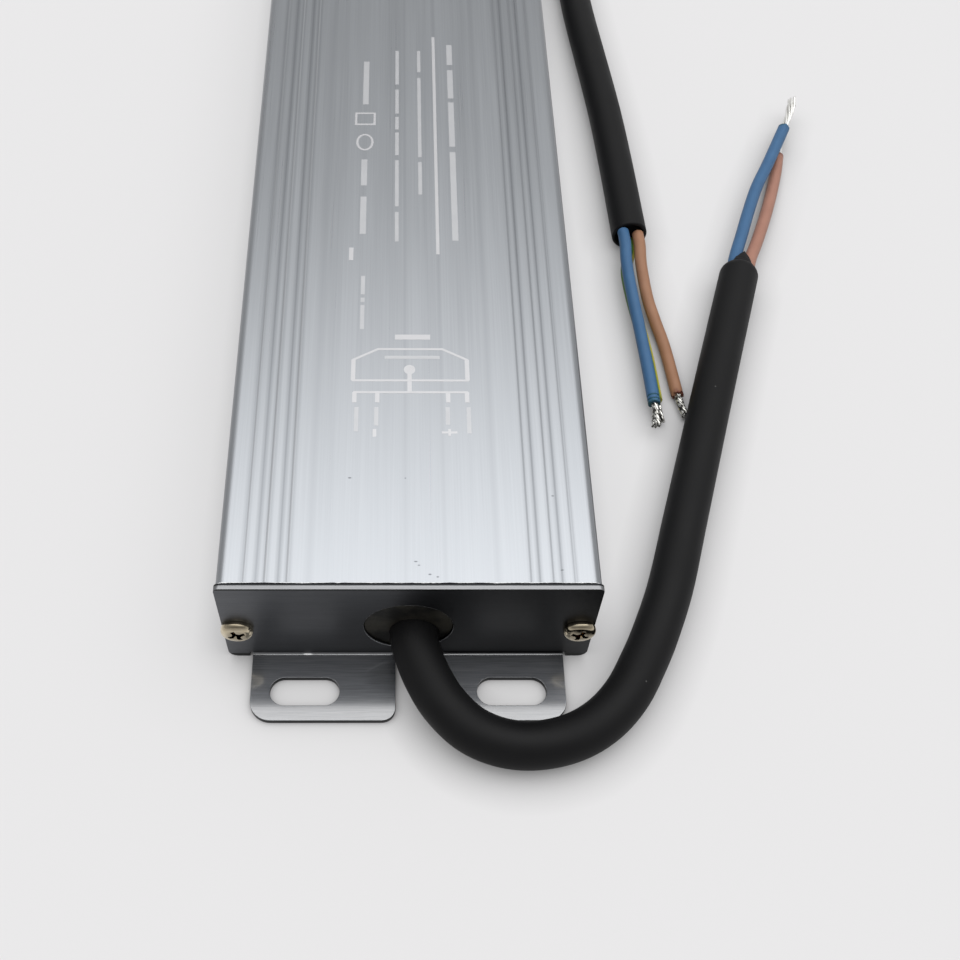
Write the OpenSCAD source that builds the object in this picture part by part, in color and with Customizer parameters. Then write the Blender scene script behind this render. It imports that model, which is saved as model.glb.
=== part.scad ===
// Slim waterproof power supply: extruded housing, two bent end plates, potted
// cable glands and the converter board inside. Millimetres, +Z up, the underside
// at z = 0, the length along Y with the output end towards -Y.

/* [Housing] */
// Outside width of the extrusion
housing_w = 67.6; // [64:0.2:76]
// Outside height of the extrusion
housing_h = 25.8; // [25:0.2:32]
// Length of the cut extrusion
housing_l = 219; // [212:0.2:260]
// Wall thickness all round
wall = 1.8; // [1.2:0.1:2.2]
// Radius of the four long outside edges
edge_r = 1.7; // [0.6:0.1:2.4]
// Radius of the four long inside corners
inner_r = 0.6; // [0.3:0.1:1.2]

/* [Top lines] */
// Distance from the side face to the single fine line
line_inset = 4.7; // [3.5:0.1:6]
// Width of the single fine line
line_w = 0.9; // [0.3:0.1:1.2]
// Depth of the single fine line
line_depth = 0.07; // [0.03:0.01:0.3]
// Distance from the side face to the middle of the first flat groove
groove_inset = 7.85; // [7:0.05:8.5]
// Distance between the middles of the two flat grooves
groove_pitch = 3.9; // [3:0.1:5]
// Width of a flat groove, between the middles of its sloped sides
groove_w = 1.55; // [1:0.05:2]
// Depth of a flat groove
groove_depth = 0.11; // [0.05:0.01:0.4]
// Width of the rounded slope at each side of a flat groove
groove_slope = 0.6; // [0.2:0.05:0.9]

/* [End plates] */
// Sheet thickness of the end plates
plate_t = 1.2; // [0.8:0.1:2]
// How far a plate stands out past the housing at the sides and the top
plate_lip = 0.2; // [0:0.1:0.6]
// Corner radius at the top of a plate
plate_top_r = 1.1; // [0.5:0.1:2]
// Corner radius at the foot of a plate
plate_foot_r = 2; // [1:0.1:2.8]
// Inside radius of the fold between plate and tab
fold_r = 0.5; // [0.3:0.1:1]
// Width of the relief cut beside each fold
relief_w = 0.6; // [0.4:0.1:1]
// Thickness of the rubber gasket behind a plate
gasket_t = 0.3; // [0.2:0.1:1]
// How far the gasket stays inside the housing's outline
gasket_inset = 0.4; // [0.2:0.1:0.8]

/* [Mounting tabs] */
// Reach of a tab, from the plate's front face to its free edge
tab_l = 13.7; // [12:0.1:18]
// Width of one tab
tab_w = 27; // [24:0.5:27.5]
// Clear gap between the two tabs of a plate
tab_gap = 4.8; // [3:0.2:6]
// Corner radius of a tab on the outer side
tab_outer_r = 4; // [2:0.5:5]
// Corner radius of a tab on the inner side
tab_inner_r = 2.5; // [1:0.5:5]
// Overall length of a slot
slot_l = 13; // [9:0.5:15]
// Width of a slot
slot_w = 5.6; // [4.2:0.1:6.5]
// Distance from the middle of the part to the middle of a slot
slot_x = 19.3; // [17:0.1:20.5]
// Distance from the plate's front face to the middle of a slot
slot_out = 7.9; // [7:0.1:8.5]

/* [Glands] */
// Hole in the plate for the gland
gland_d = 16.4; // [14:0.1:17]
// Height of the gland above the underside
gland_z = 12; // [11.8:0.1:13]
// Gap between the gland seal and the edge of its hole
seal_gap = 0.1; // [0.05:0.05:0.3]
// Distance from the plate's face back to the rim of the seal
seal_rim = 0.3; // [0.1:0.1:0.6]
// Distance from the plate's face back to the middle of the seal
seal_dish = 0.8; // [0.6:0.1:1.4]
// Least thickness of the seal beside its cable, which lies low in the gland
seal_web = 0.6; // [0.4:0.1:1.2]
// Angle between straight down and the side of the gland where the cable lies
cable_lean = 20; // [0:5:45]
// Gap from the seal's flange, behind the gasket, to the inside height of the housing, on both sides
flange_gap = 1.6; // [1.4:0.1:1.9]
// Thickness of the seal's flange
flange_t = 3; // [2:0.5:4]

/* [End screws] */
// Thread diameter of the end screws
screw_d = 3; // [2.6:0.1:3.2]
// Length of an end screw under its head
screw_l = 8; // [6:0.5:10]
// Diameter of the pan head
head_d = 6; // [5:0.1:6.2]
// Height of the head's straight edge
head_edge = 0.5; // [0.3:0.1:0.8]
// Radius of the head's round shoulder
shoulder_r = 1; // [0.7:0.1:1.3]
// Height of the head's crown above the shoulder
crown_h = 0.2; // [0.1:0.05:0.4]
// Width of the cross recess in the head
recess_w = 0.8; // [0.6:0.1:1]
// Diameter of the pocket in the middle of the cross recess
pocket_d = 1.9; // [1.3:0.1:2.2]
// Distance from the housing's side face to the screw's axis
screw_inset = 2.5; // [2.3:0.1:2.9]
// Height of the screw's axis above the underside
screw_z = 11.3; // [10.6:0.1:13]
// Outside diameter of the screw channel in the side wall
channel_d = 5.6; // [5.2:0.1:5.8]
// Gap between a screw and the hole it goes through
screw_gap = 0.1; // [0.05:0.05:0.2]

/* [Circuit board] */
// Thickness of the board
board_t = 1.6; // [1:0.1:1.6]
// Height of the board's underside above the housing's underside
board_z = 5.5; // [5:0.1:5.6]
// Gap between the board's edge and the side wall
board_gap = 0.3; // [0.2:0.1:0.5]
// Distance from the housing's cut end to the end of the board
board_end = 6.5; // [6:0.5:8]
// Thickness of the ledge that carries the board
ledge_t = 1; // [0.6:0.1:1.5]
// Reach of the ledge from the side wall
ledge_w = 2.6; // [1.5:0.1:3.5]
// Gap between the board and the ledge below it
ledge_gap = 0.1; // [0:0.05:0.2]
// Length left free of potting at each end
potting_end = 12; // [8:1:20]

/* [Input side parts] */
// Diameter of the fuse tube
fuse_d = 5.2; // [4.5:0.1:6.3]
// Length of the fuse
fuse_l = 20; // [18:0.5:22]
// Free height above the varistor disc
varistor_gap = 2.9; // [2:0.1:6]
// Thickness of the varistor and the thermistor
disc_t = 4.5; // [3:0.5:5]
// Diameter of the thermistor disc
thermistor_d = 11; // [8:0.5:12]
// Width of the interference capacitor
xcap_w = 18; // [13:0.5:20]
// Thickness of the interference capacitor
xcap_t = 8.5; // [6:0.5:10]
// Free height above the interference capacitor
xcap_gap = 2.4; // [1:0.1:5]
// Outside diameter of the choke core
choke_d = 20; // [18:0.5:20]
// Inside diameter of the choke core
choke_bore = 11; // [10:0.5:12]
// Height of the choke core
choke_h = 8; // [6:0.5:9]
// Thickness of the wire layer on a toroid
layer_t = 1.5; // [1:0.1:2]
// Diameter of the safety capacitors
ycap_d = 8; // [6:0.5:9]
// Width of the bridge rectifier
bridge_w = 22; // [18:0.5:25]
// Thickness of the bridge rectifier
bridge_t = 4; // [3:0.5:5]
// Free height above the bridge rectifier
bridge_gap = 2.9; // [1:0.1:5]

/* [Power parts] */
// Free height above the storage capacitors
bulk_gap = 0.9; // [0.5:0.1:4]
// Length of a storage capacitor
bulk_l = 31; // [25:1:33]
// Width of the transformer core
core_w = 36; // [32:1:38]
// Length of the transformer core
core_l = 34; // [30:1:36]
// Width of the core's middle leg
leg_w = 11; // [9:0.5:12]
// Thickness of the core's yokes and outer legs
yoke_t = 5.5; // [4:0.5:6]
// Wall of the winding former
former_t = 0.9; // [0.7:0.1:1]
// Depth of the winding on its former
winding_t = 2.7; // [1.5:0.1:2.8]
// Free height above the winding of the transformer
winding_gap = 1.7; // [1:0.1:3]
// Thickness of a power transistor
transistor_t = 4.5; // [4:0.1:5]
// Width of a power transistor
transistor_w = 10; // [9:0.5:11]
// Free height above the metal tab of a power transistor
tab_clear = 0.4; // [0.3:0.1:2]
// Thickness of the heat spreader bars
spreader_t = 2.4; // [2:0.1:3]
// Length of a heat spreader bar
spreader_l = 46; // [42:1:50]
// Gap between a heat spreader and the housing
spreader_gap = 0.3; // [0.1:0.1:0.5]
// Thickness of the insulating pads
pad_t = 0.3; // [0.2:0.1:0.5]

/* [Output side parts] */
// Outside diameter of the output inductor core
inductor_d = 22; // [18:0.5:22]
// Inside diameter of the output inductor core
inductor_bore = 12; // [11:0.5:13]
// Height of the output inductor core
inductor_h = 9; // [7:0.5:10]
// Diameter of an output capacitor
outcap_d = 10; // [8:0.5:10.5]
// Free height above an output capacitor
outcap_gap = 1.4; // [1:0.1:4]

/* [Cables] */
// Outside diameter of the output cable
output_cable_d = 8.8; // [8:0.1:9]
// Outside diameter of the input cable
input_cable_d = 8.2; // [7.6:0.1:8.8]
// Diameter of an output core
output_core_d = 2.9; // [2.5:0.1:2.9]
// Diameter of an input core
input_core_d = 2.7; // [2.4:0.1:2.8]
// Diameter of the tinned strands at an output core's end
output_strand_d = 1.8; // [1.4:0.1:2]
// Diameter of the tinned strands at an input core's end
input_strand_d = 1.6; // [1.2:0.1:1.8]
// Gap between a cable and the bore of its seal
cable_gap = 0.05; // [0.05:0.05:0.2]

/* [Hidden] */
$fn = 48;

// Overlap that makes a cutting tool pass clean through a face
cut = 0.1;

// Places along the length
end_y = housing_l / 2;
face_y = end_y + gasket_t + plate_t;

// The end plate's outline
plate_w = housing_w + 2 * plate_lip;
plate_h = housing_h + plate_lip;

// Depth of the thread left out of the screws, and what their hole in the housing is narrower by
thread_depth = 0.5;
channel_bite = 0.4;
// Reach of the cross recess across the head as a share of its diameter, and its floor above the plate
recess_reach = 0.55;
recess_floor = 0.6;
// Height of the screw's head, and how far the left and the right screw end up turned
head_h = head_edge + shoulder_r + crown_h;
screw_turns = [25, 70];
// Space between the potting and the ledges
potting_side = 0.5;

// Places of the screws and of the board
screw_x = housing_w / 2 - screw_inset;
cavity_w = housing_w - 2 * wall;
cavity_h = housing_h - 2 * wall;
ceiling_z = housing_h - wall;
board_w = cavity_w - 2 * board_gap;
board_l = housing_l - 2 * board_end;
board_top = board_z + board_t;
headroom = ceiling_z - board_top;

// How far both jackets reach in behind the plate's face
jacket_seat = 7.5;
// Where a cable goes through its seal: distance across the part, height
function exit_place(d) =
  let (shift = gland_d / 2 - seal_gap - seal_web - cable_gap - d / 2)
  [shift * sin(cable_lean), gland_z - shift * cos(cable_lean)];
output_exit = exit_place(output_cable_d);
input_exit = exit_place(input_cable_d);
// Cable routes, the middle of each jacket from inside the gland to its cut end: distance
// across the part, distance outwards from the plate's face, height
output_points = [
  [output_exit.x, -jacket_seat, output_exit.y], [output_exit.x, -3, output_exit.y],
  [output_exit.x, 1, output_exit.y], [1.9, 4.4, 8.7], [3.7, 8.6, 7.7],
  [6.6, 13.1, 6.6], [11.3, 17.3, 5.4], [17.2, 19.5, 4.6], [23.5, 19.8, 4.4], [30, 18.2, 4.4],
  [35.6, 14.8, 4.4], [40.2, 9.8, 4.4], [43.8, 3.6, 4.4], [47, -3, 4.4], [51, -13, 4.4],
  [56, -29, 4.4], [66, -61, 4.4], [77.4, -97, 4.4]
];
input_points = [
  [input_exit.x, -jacket_seat, input_exit.y], [input_exit.x, -3, input_exit.y],
  [input_exit.x, 1, input_exit.y], [1.9, 5, 8.5], [3.5, 10, 7.5],
  [6.6, 15, 6.2], [12, 19, 4.9], [18.5, 20.8, 4.3], [25.5, 20.2, 4.1], [32, 17.2, 4.1],
  [37.6, 12, 4.1], [41.8, 5, 4.1], [44.6, -4, 4.1], [46.6, -15, 4.1], [47.6, -31, 4.1],
  [50.6, -66, 4.1], [51.8, -87, 4.1], [52.8, -114.2, 4.1]
];
// Core routes in the same measures: what follows the short straight stretch out of the jacket
output_blue_rest = [
  [79.2, -107.3, 4.7], [82.2, -115.6, 4.5], [85.6, -124.2, 4.4], [89.9, -132.9, 4.4], [96, -145.8, 4.6]
];
output_brown_rest = [
  [83.1, -106.7, 3.4], [86.8, -116, 2.3], [90.1, -125.2, 1.6], [92.5, -132.9, 1.5], [94, -138.8, 1.5]
];
input_blue_rest = [
  [50.9, -125, 5.4], [51.4, -134.3, 4.7], [52.1, -143.4, 4.1], [52.7, -154.5, 3.9], [53, -164.4, 3.9]
];
input_brown_rest = [
  [54.6, -123.6, 4], [55.2, -132.5, 2.8], [56.4, -139, 1.9], [57.8, -146.6, 1.4], [59, -160.1, 1.4]
];
input_earth_rest = [
  [51.6, -123, 1.5], [51.9, -131.2, 1.4], [52.9, -141, 1.4], [53.7, -150.2, 1.4], [54.2, -161.6, 1.4]
];
// Lengths of the tinned strands past the insulation
output_strand_l = 12;
input_strand_l = 6.5;
// Straight stretch of a core where it comes out of its jacket
core_straight = 4;

// Vector helpers
function unit(v) = v / norm(v);
// Tangent of a route at point i, the mean of the directions on both sides of it
function tangent(p, i) =
  i == 0 ? unit(p[1] - p[0]) :
  i == len(p) - 1 ? unit(p[i] - p[i - 1]) :
  unit(unit(p[i] - p[i - 1]) + unit(p[i + 1] - p[i]));
// Level direction across a route at point i
function across(p, i) = unit(cross(tangent(p, i), [0, 0, 1]));
// One ring of a tube: corners at radius r round point i, the first one lowest
function ring(p, i, r, sides) =
  let (t = tangent(p, i), s = across(p, i), u = cross(s, t))
  [for (k = [0:sides - 1]) let (a = 360 * k / sides - 90) p[i] + r * (cos(a) * s + sin(a) * u)];
// Points measured from a plate's face, put at the output end for dir -1 or the input end for 1
function laid(points, dir) = [for (p = points) [p.x, dir * (face_y + p.y), p.z]];
// Route of a core that leaves the end of a jacket beside its middle
function core_route(jacket, side, rise, rest) =
  let (e = len(jacket) - 1, t = tangent(jacket, e), s = across(jacket, e),
       start = jacket[e] + side * s + [0, 0, rise])
  concat([start, start + core_straight * t], rest);

output_route = laid(output_points, -1);
input_route = laid(input_points, 1);
output_blue = core_route(output_route, -1.7, 0.3, laid(output_blue_rest, -1));
output_brown = core_route(output_route, 1.8, 0, laid(output_brown_rest, -1));
input_blue = core_route(input_route, 1.8, 1.6, laid(input_blue_rest, 1));
input_brown = core_route(input_route, -1.8, 0.7, laid(input_brown_rest, 1));
input_earth = core_route(input_route, 0.3, -1.5, laid(input_earth_rest, 1));

// Rectangle with four round corners, of two radii: r_top above and r_foot below
module rounded_plate(w, h, r_top, r_foot) {
  translate([-w / 2, r_foot]) square([w, h - r_top - r_foot]);
  translate([-w / 2 + r_top, h / 2]) square([w - 2 * r_top, h / 2]);
  translate([-w / 2 + r_foot, 0]) square([w - 2 * r_foot, h / 2]);
  for (s = [-1, 1]) {
    translate([s * (w / 2 - r_top), h - r_top]) circle(r_top);
    translate([s * (w / 2 - r_foot), r_foot]) circle(r_foot);
  }
}

// Tube swept along a route, one ring at each of its points
module tube(route, d, sides) {
  n = len(route);
  rings = [for (i = [0:n - 1]) each ring(route, i, d / 2, sides)];
  walls = [for (i = [0:n - 2], k = [0:sides - 1])
    let (a = i * sides + k, b = i * sides + (k + 1) % sides)
    [a, b, b + sides, a + sides]];
  start_cap = [for (k = [sides - 1:-1:0]) k];
  end_cap = [for (k = [0:sides - 1]) (n - 1) * sides + k];
  polyhedron(rings, concat([start_cap, end_cap], walls));
}

// Stands a flat outline up across the length, its thickness towards +Y from y
module stand(y, thickness) {
  translate([0, y + thickness, 0]) rotate([90, 0, 0]) linear_extrude(thickness) children();
}

// Puts the same pieces at the other end of the part
module input_end() {
  mirror([0, 1, 0]) children();
}

// A share from 0 to 1 that sets out and arrives level
function eased(t) = (1 - cos(180 * t)) / 2;

// Section of a shallow groove cut down from y = 0, with rounded slopes
module soft_groove(w, slope, depth) {
  side = [for (t = [0:1/6:1]) [slope * (t - 0.5) - w / 2, -depth * eased(t)]];
  across = [for (i = [len(side) - 1:-1:0]) [-side[i].x, side[i].y]];
  polygon(concat([[side[0].x, cut]], side, across, [[-side[0].x, cut]]));
}

// Section of the extrusion
module housing_section() {
  difference() {
    rounded_plate(housing_w, housing_h, edge_r, edge_r);
    difference() {
      translate([0, wall]) rounded_plate(cavity_w, cavity_h, inner_r, inner_r);
      for (s = [-1, 1]) {
        translate([s * screw_x, screw_z]) circle(d = channel_d);
        translate([s * (cavity_w / 2 - ledge_w / 2), board_z - ledge_gap - ledge_t / 2])
          square([ledge_w, ledge_t], center = true);
      }
    }
    for (s = [-1, 1]) {
      translate([s * screw_x, screw_z]) circle(d = screw_d - channel_bite);
      translate([s * (housing_w / 2 - line_inset), housing_h])
        soft_groove(line_w / 2, line_w / 2, line_depth);
      for (k = [0, 1])
        translate([s * (housing_w / 2 - groove_inset - k * groove_pitch), housing_h])
          soft_groove(groove_w, groove_slope, groove_depth);
    }
  }
}

module housing() {
  color("silver") stand(-end_y, housing_l) housing_section();
}

// Section of the fold between plate and tab, in the plane across X
module fold_section() {
  outer_r = fold_r + plate_t;
  difference() {
    translate([-fold_r, outer_r]) circle(outer_r);
    translate([-fold_r, outer_r]) circle(fold_r);
    translate([-fold_r - 2 * outer_r, -cut]) square([2 * outer_r, 3 * outer_r]);
    translate([-fold_r - cut, outer_r]) square([2 * outer_r, 2 * outer_r]);
  }
}

// Plan of one tab, on the +X side, from the fold to the free edge
module tab_plan() {
  inner_x = tab_gap / 2;
  outer_x = inner_x + tab_w;
  difference() {
    union() {
      translate([inner_x + tab_inner_r, -tab_l])
        square([tab_w - tab_inner_r - tab_outer_r, tab_l - fold_r]);
      translate([inner_x, -tab_l + tab_inner_r]) square([tab_w / 2, tab_l - tab_inner_r - fold_r]);
      translate([outer_x - tab_w / 2, -tab_l + tab_outer_r])
        square([tab_w / 2, tab_l - tab_outer_r - fold_r]);
      translate([inner_x + tab_inner_r, -tab_l + tab_inner_r]) circle(tab_inner_r);
      translate([outer_x - tab_outer_r, -tab_l + tab_outer_r]) circle(tab_outer_r);
    }
    for (s = [-1, 1]) translate([slot_x + s * (slot_l - slot_w) / 2, -slot_out]) circle(d = slot_w);
    translate([slot_x, -slot_out]) square([slot_l - slot_w, slot_w], center = true);
  }
}

// End plate with its two tabs, folded from one sheet
module end_plate() {
  outer_r = fold_r + plate_t;
  translate([0, -face_y, 0]) {
    difference() {
      stand(0, plate_t) rounded_plate(plate_w, plate_h, plate_top_r, plate_foot_r);
      for (s = [-1, 1]) {
        translate([s * (tab_gap / 2 + tab_w / 2), plate_t / 2, 0])
          cube([tab_w + 2 * relief_w, 2 * plate_t, 2 * outer_r], center = true);
        translate([s * screw_x, -cut, screw_z]) rotate([-90, 0, 0])
          cylinder(h = plate_t + 2 * cut, d = screw_d + 2 * screw_gap);
      }
      translate([0, -cut, gland_z]) rotate([-90, 0, 0])
        cylinder(h = plate_t + 2 * cut, d = gland_d);
    }
    for (s = [0, 1]) mirror([s, 0, 0]) {
      translate([tab_gap / 2, 0, 0]) rotate([90, 0, 90]) linear_extrude(tab_w) fold_section();
      linear_extrude(plate_t) tab_plan();
    }
  }
}

module output_end_plate() {
  color("slategray") end_plate();
}

module input_end_plate() {
  color("slategray") input_end() end_plate();
}

// Gasket sheet between an end plate and the cut end of the housing
module gasket() {
  difference() {
    stand(-end_y - gasket_t, gasket_t)
      translate([0, gasket_inset])
        rounded_plate(housing_w - 2 * gasket_inset, housing_h - 2 * gasket_inset, edge_r, plate_foot_r);
    for (s = [-1, 1])
      translate([s * screw_x, -end_y - gasket_t - cut, screw_z]) rotate([-90, 0, 0])
        cylinder(h = gasket_t + 2 * cut, d = screw_d + 2 * screw_gap);
    translate([0, -end_y - gasket_t - cut, gland_z]) rotate([-90, 0, 0])
      cylinder(h = gasket_t + 2 * cut, d = gland_d);
  }
}

module output_gasket() {
  color("dimgray") gasket();
}

module input_gasket() {
  color("dimgray") input_end() gasket();
}

// Gland seal: a plug in the plate's hole with a dished face, and a flange behind the gasket
module gland_seal(cable_d) {
  plug = gland_d / 2 - seal_gap;
  flange = cavity_h / 2 - flange_gap;
  back = plate_t + gasket_t;
  place = exit_place(cable_d);
  difference() {
    translate([0, -face_y, gland_z]) rotate([-90, 0, 0]) rotate_extrude()
      polygon([
        [0, seal_dish], [plug, seal_rim], [plug, back], [flange, back],
        [flange, back + flange_t], [0, back + flange_t]
      ]);
    translate([place.x, -face_y - cut, place.y]) rotate([-90, 0, 0])
      cylinder(h = back + flange_t + 2 * cut, d = cable_d + 2 * cable_gap);
  }
}

module output_gland_seal() {
  color("black") gland_seal(output_cable_d);
}

module input_gland_seal() {
  color("black") input_end() gland_seal(input_cable_d);
}

// Half section of a pan head: a straight edge, a round shoulder and a low crown that meets it smoothly
module head_section() {
  shoulder_x = head_d / 2 - shoulder_r;
  crown_r = (pow(shoulder_x, 2) + pow(crown_h, 2)) / (2 * crown_h) + shoulder_r;
  meeting_x = shoulder_x * crown_r / (crown_r - shoulder_r);
  intersection() {
    square([head_d / 2, head_h]);
    union() {
      square([head_d / 2, head_edge]);
      translate([shoulder_x, head_edge]) circle(shoulder_r);
      intersection() {
        square([meeting_x, head_h]);
        translate([0, head_h - crown_r]) circle(crown_r);
      }
    }
  }
}

// Pan head screw, head towards -Y, its underside at y = 0
module end_screw(turn) {
  recess_depth = head_h - recess_floor;
  point = 1;
  rotate([90, 0, 0]) difference() {
    rotate_extrude() head_section();
    for (a = [0, 90]) rotate([0, 0, turn + a]) translate([0, 0, head_h])
      cube([recess_reach * head_d, recess_w, 2 * recess_depth], center = true);
    translate([0, 0, recess_floor])
      cylinder(h = recess_depth + cut, d1 = recess_w, d2 = pocket_d);
  }
  rotate([-90, 0, 0]) {
    cylinder(h = screw_l - point, d = screw_d - thread_depth);
    translate([0, 0, screw_l - point])
      cylinder(h = point, d1 = screw_d - thread_depth, d2 = screw_d / 2);
  }
}

module end_screws() {
  for (i = [0, 1]) translate([(2 * i - 1) * screw_x, -face_y, screw_z]) end_screw(screw_turns[i]);
}

module output_end_screws() {
  color("gainsboro") end_screws();
}

module input_end_screws() {
  color("gainsboro") input_end() end_screws();
}

// Heat conducting compound between the board and the floor of the housing
module potting_layer() {
  color("gray")
    translate([0, 0, (wall + board_z) / 2])
      cube([cavity_w - 2 * (ledge_w + potting_side), housing_l - 2 * potting_end, board_z - wall],
        center = true);
}

module circuit_board() {
  color("darkgreen")
    translate([0, 0, board_z + board_t / 2]) cube([board_w, board_l, board_t], center = true);
}

// Places of the parts on the board: shares of its length from the input end, and of its width
// from the middle
function along(share) = (0.5 - share) * board_l;
left_x = -0.24 * board_w;
fuse_y = along(0.073);
disc_y = along(0.0875);
varistor_x = 0.095 * board_w;
thermistor_x = 0.33 * board_w;
xcap_y = along(0.155);
choke_y = along(0.185);
choke_x = 0.175 * board_w;
ycap_y = along(0.222);
bridge_y = along(0.262);
bulk_y = along(0.361);
bulk_x = -0.142 * board_w;
primary_y = along(0.399);
transformer_y = along(0.539);
transformer_x = -0.08 * board_w;
chip_y = along(0.66);
chip_x = 0.25 * board_w;
coupler_x = 0.03 * board_w;
inductor_y = along(0.757);
inductor_x = 0.05 * board_w;
outcap_y = along(0.886);
outcap_x = 0.095 * board_w;
secondary_y = along(0.796);
// Free space between two capacitors of a group
cap_space = 2;

// Length of the fuse's end caps, and the height of the tube above the board
fuse_cap = 5;
fuse_lift = 0.5;

// Fuse tube with its two end caps, lying across the board
module fuse() {
  cap_t = 0.2;
  color("ivory") translate([left_x, fuse_y, board_top + fuse_lift + fuse_d / 2]) rotate([0, 90, 0]) {
    cylinder(h = fuse_l, d = fuse_d - 2 * cap_t, center = true);
    for (s = [-1, 1]) translate([0, 0, s * (fuse_l - fuse_cap) / 2])
      cylinder(h = fuse_cap, d = fuse_d, center = true);
  }
}

// Spring clips that hold the fuse's caps
module fuse_clips() {
  clip_l = fuse_cap - 1;
  color("goldenrod") for (s = [-1, 1])
    translate([left_x + s * (fuse_l - fuse_cap) / 2, fuse_y, board_top]) {
      translate([0, 0, fuse_lift / 2])
        cube([clip_l, fuse_d + 2 * fuse_lift, fuse_lift], center = true);
      for (k = [-1, 1]) translate([0, k * (fuse_d + fuse_lift) / 2, fuse_d / 2])
        cube([clip_l, fuse_lift, fuse_d], center = true);
    }
}

// Round disc part that stands on its edge
module standing_disc(x, y, d) {
  translate([x, y, board_top + d / 2]) rotate([90, 0, 0])
    cylinder(h = disc_t, d = d, center = true);
}

module varistor() {
  color("royalblue") standing_disc(varistor_x, disc_y, headroom - varistor_gap);
}

module thermistor() {
  color("darkolivegreen") standing_disc(thermistor_x, disc_y, thermistor_d);
}

module safety_capacitors() {
  color("deepskyblue") for (s = [-1, 1])
    standing_disc(left_x + s * (ycap_d + cap_space) / 2, ycap_y, ycap_d);
}

module interference_capacitor() {
  height = headroom - xcap_gap;
  color("gold") translate([left_x, xcap_y, board_top + height / 2])
    cube([xcap_w, xcap_t, height], center = true);
}

// Gap between a wire layer or a former and what it goes round
wire_gap = 0.05;

// Ring core that lies flat, raised by the wire layer below it
module ring_core(x, y, d, bore, h) {
  translate([x, y, board_top + layer_t]) difference() {
    cylinder(h = h, d = d);
    translate([0, 0, -cut]) cylinder(h = h + 2 * cut, d = bore);
  }
}

// Wire layer on a ring core, over the given arc from the given start
module ring_winding(x, y, d, bore, h, start, arc) {
  radial = (d - bore) / 2;
  translate([x, y, board_top]) rotate([0, 0, start]) rotate_extrude(angle = arc) difference() {
    translate([bore / 2 - layer_t, 0]) square([radial + 2 * layer_t, h + 2 * layer_t]);
    translate([bore / 2 - wire_gap, layer_t - wire_gap])
      square([radial + 2 * wire_gap, h + 2 * wire_gap]);
  }
}

module choke_core() {
  color("darkslategray") ring_core(choke_x, choke_y, choke_d, choke_bore, choke_h);
}

module choke_windings() {
  arc = 120;
  color("chocolate") for (middle = [0, 180])
    ring_winding(choke_x, choke_y, choke_d, choke_bore, choke_h, middle - arc / 2, arc);
}

module bridge_rectifier() {
  chamfer = 3;
  height = headroom - bridge_gap;
  color("black") stand(bridge_y - bridge_t / 2, bridge_t)
    translate([left_x, board_top]) polygon([
      [-bridge_w / 2, 0], [bridge_w / 2, 0], [bridge_w / 2, height],
      [chamfer - bridge_w / 2, height], [-bridge_w / 2, height - chamfer]
    ]);
}

// Storage capacitors lying on the board, each can with its rolled groove
module storage_capacitors() {
  groove_r = 0.6;
  groove_y = 4;
  r = (headroom - bulk_gap) / 2;
  color("midnightblue") for (s = [-1, 1])
    translate([bulk_x + s * (r + cap_space / 2), bulk_y, board_top + r]) rotate([90, 0, 0])
      rotate_extrude() difference() {
        translate([0, -bulk_l / 2]) square([r, bulk_l]);
        translate([r, bulk_l / 2 - groove_y]) circle(groove_r);
      }
}

// What the former and the wire take on each side of the core's leg, the thickness of the core,
// and its middle height
wound_t = former_t + winding_t;
core_t = headroom - winding_gap - 2 * wound_t;
core_z = board_top + wound_t + core_t / 2;

// Closed ferrite core: a frame with a middle leg along Y
module transformer_core() {
  window_w = (core_w - leg_w) / 2 - yoke_t;
  window_l = core_l - 2 * yoke_t;
  color("dimgray") translate([transformer_x, transformer_y, core_z]) difference() {
    cube([core_w, core_l, core_t], center = true);
    for (s = [-1, 1]) translate([s * (leg_w + window_w) / 2, 0, 0])
      cube([window_w, window_l, core_t + 2 * cut], center = true);
  }
}

// Winding former: a square tube on the middle leg with a flange at each end
module transformer_former() {
  length = core_l - 2 * (yoke_t + wire_gap);
  depth = wound_t - 4 * wire_gap;
  color("tan") translate([transformer_x, transformer_y, core_z]) difference() {
    union() {
      cube([leg_w + 2 * former_t, length, core_t + 2 * former_t], center = true);
      for (s = [-1, 1]) translate([0, s * (length - former_t) / 2, 0])
        cube([leg_w + 2 * depth, former_t, core_t + 2 * depth], center = true);
    }
    cube([leg_w + 2 * wire_gap, length + 2 * cut, core_t + 2 * wire_gap], center = true);
  }
}

// Wire wound on the former, between its flanges
module transformer_winding() {
  length = core_l - 2 * (yoke_t + former_t + 2 * wire_gap);
  depth = wound_t - 8 * wire_gap;
  inside = former_t + wire_gap;
  color("orange") translate([transformer_x, transformer_y, core_z]) difference() {
    cube([leg_w + 2 * depth, length, core_t + 2 * depth], center = true);
    cube([leg_w + 2 * inside, length + 2 * cut, core_t + 2 * inside], center = true);
  }
}

// Posts that carry the transformer on the board, under its yokes
module transformer_pins() {
  post_d = 2;
  post_pitch = 7;
  color("silver") for (k = [-1.5:1.5], s = [-1, 1])
    translate([transformer_x + k * post_pitch, transformer_y + s * (core_l - yoke_t) / 2, board_top])
      cylinder(h = core_z - core_t / 2 - board_top, d = post_d);
}

// Pitch of the leads of the chips and of the power parts
pin_pitch = 2.54;

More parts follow.
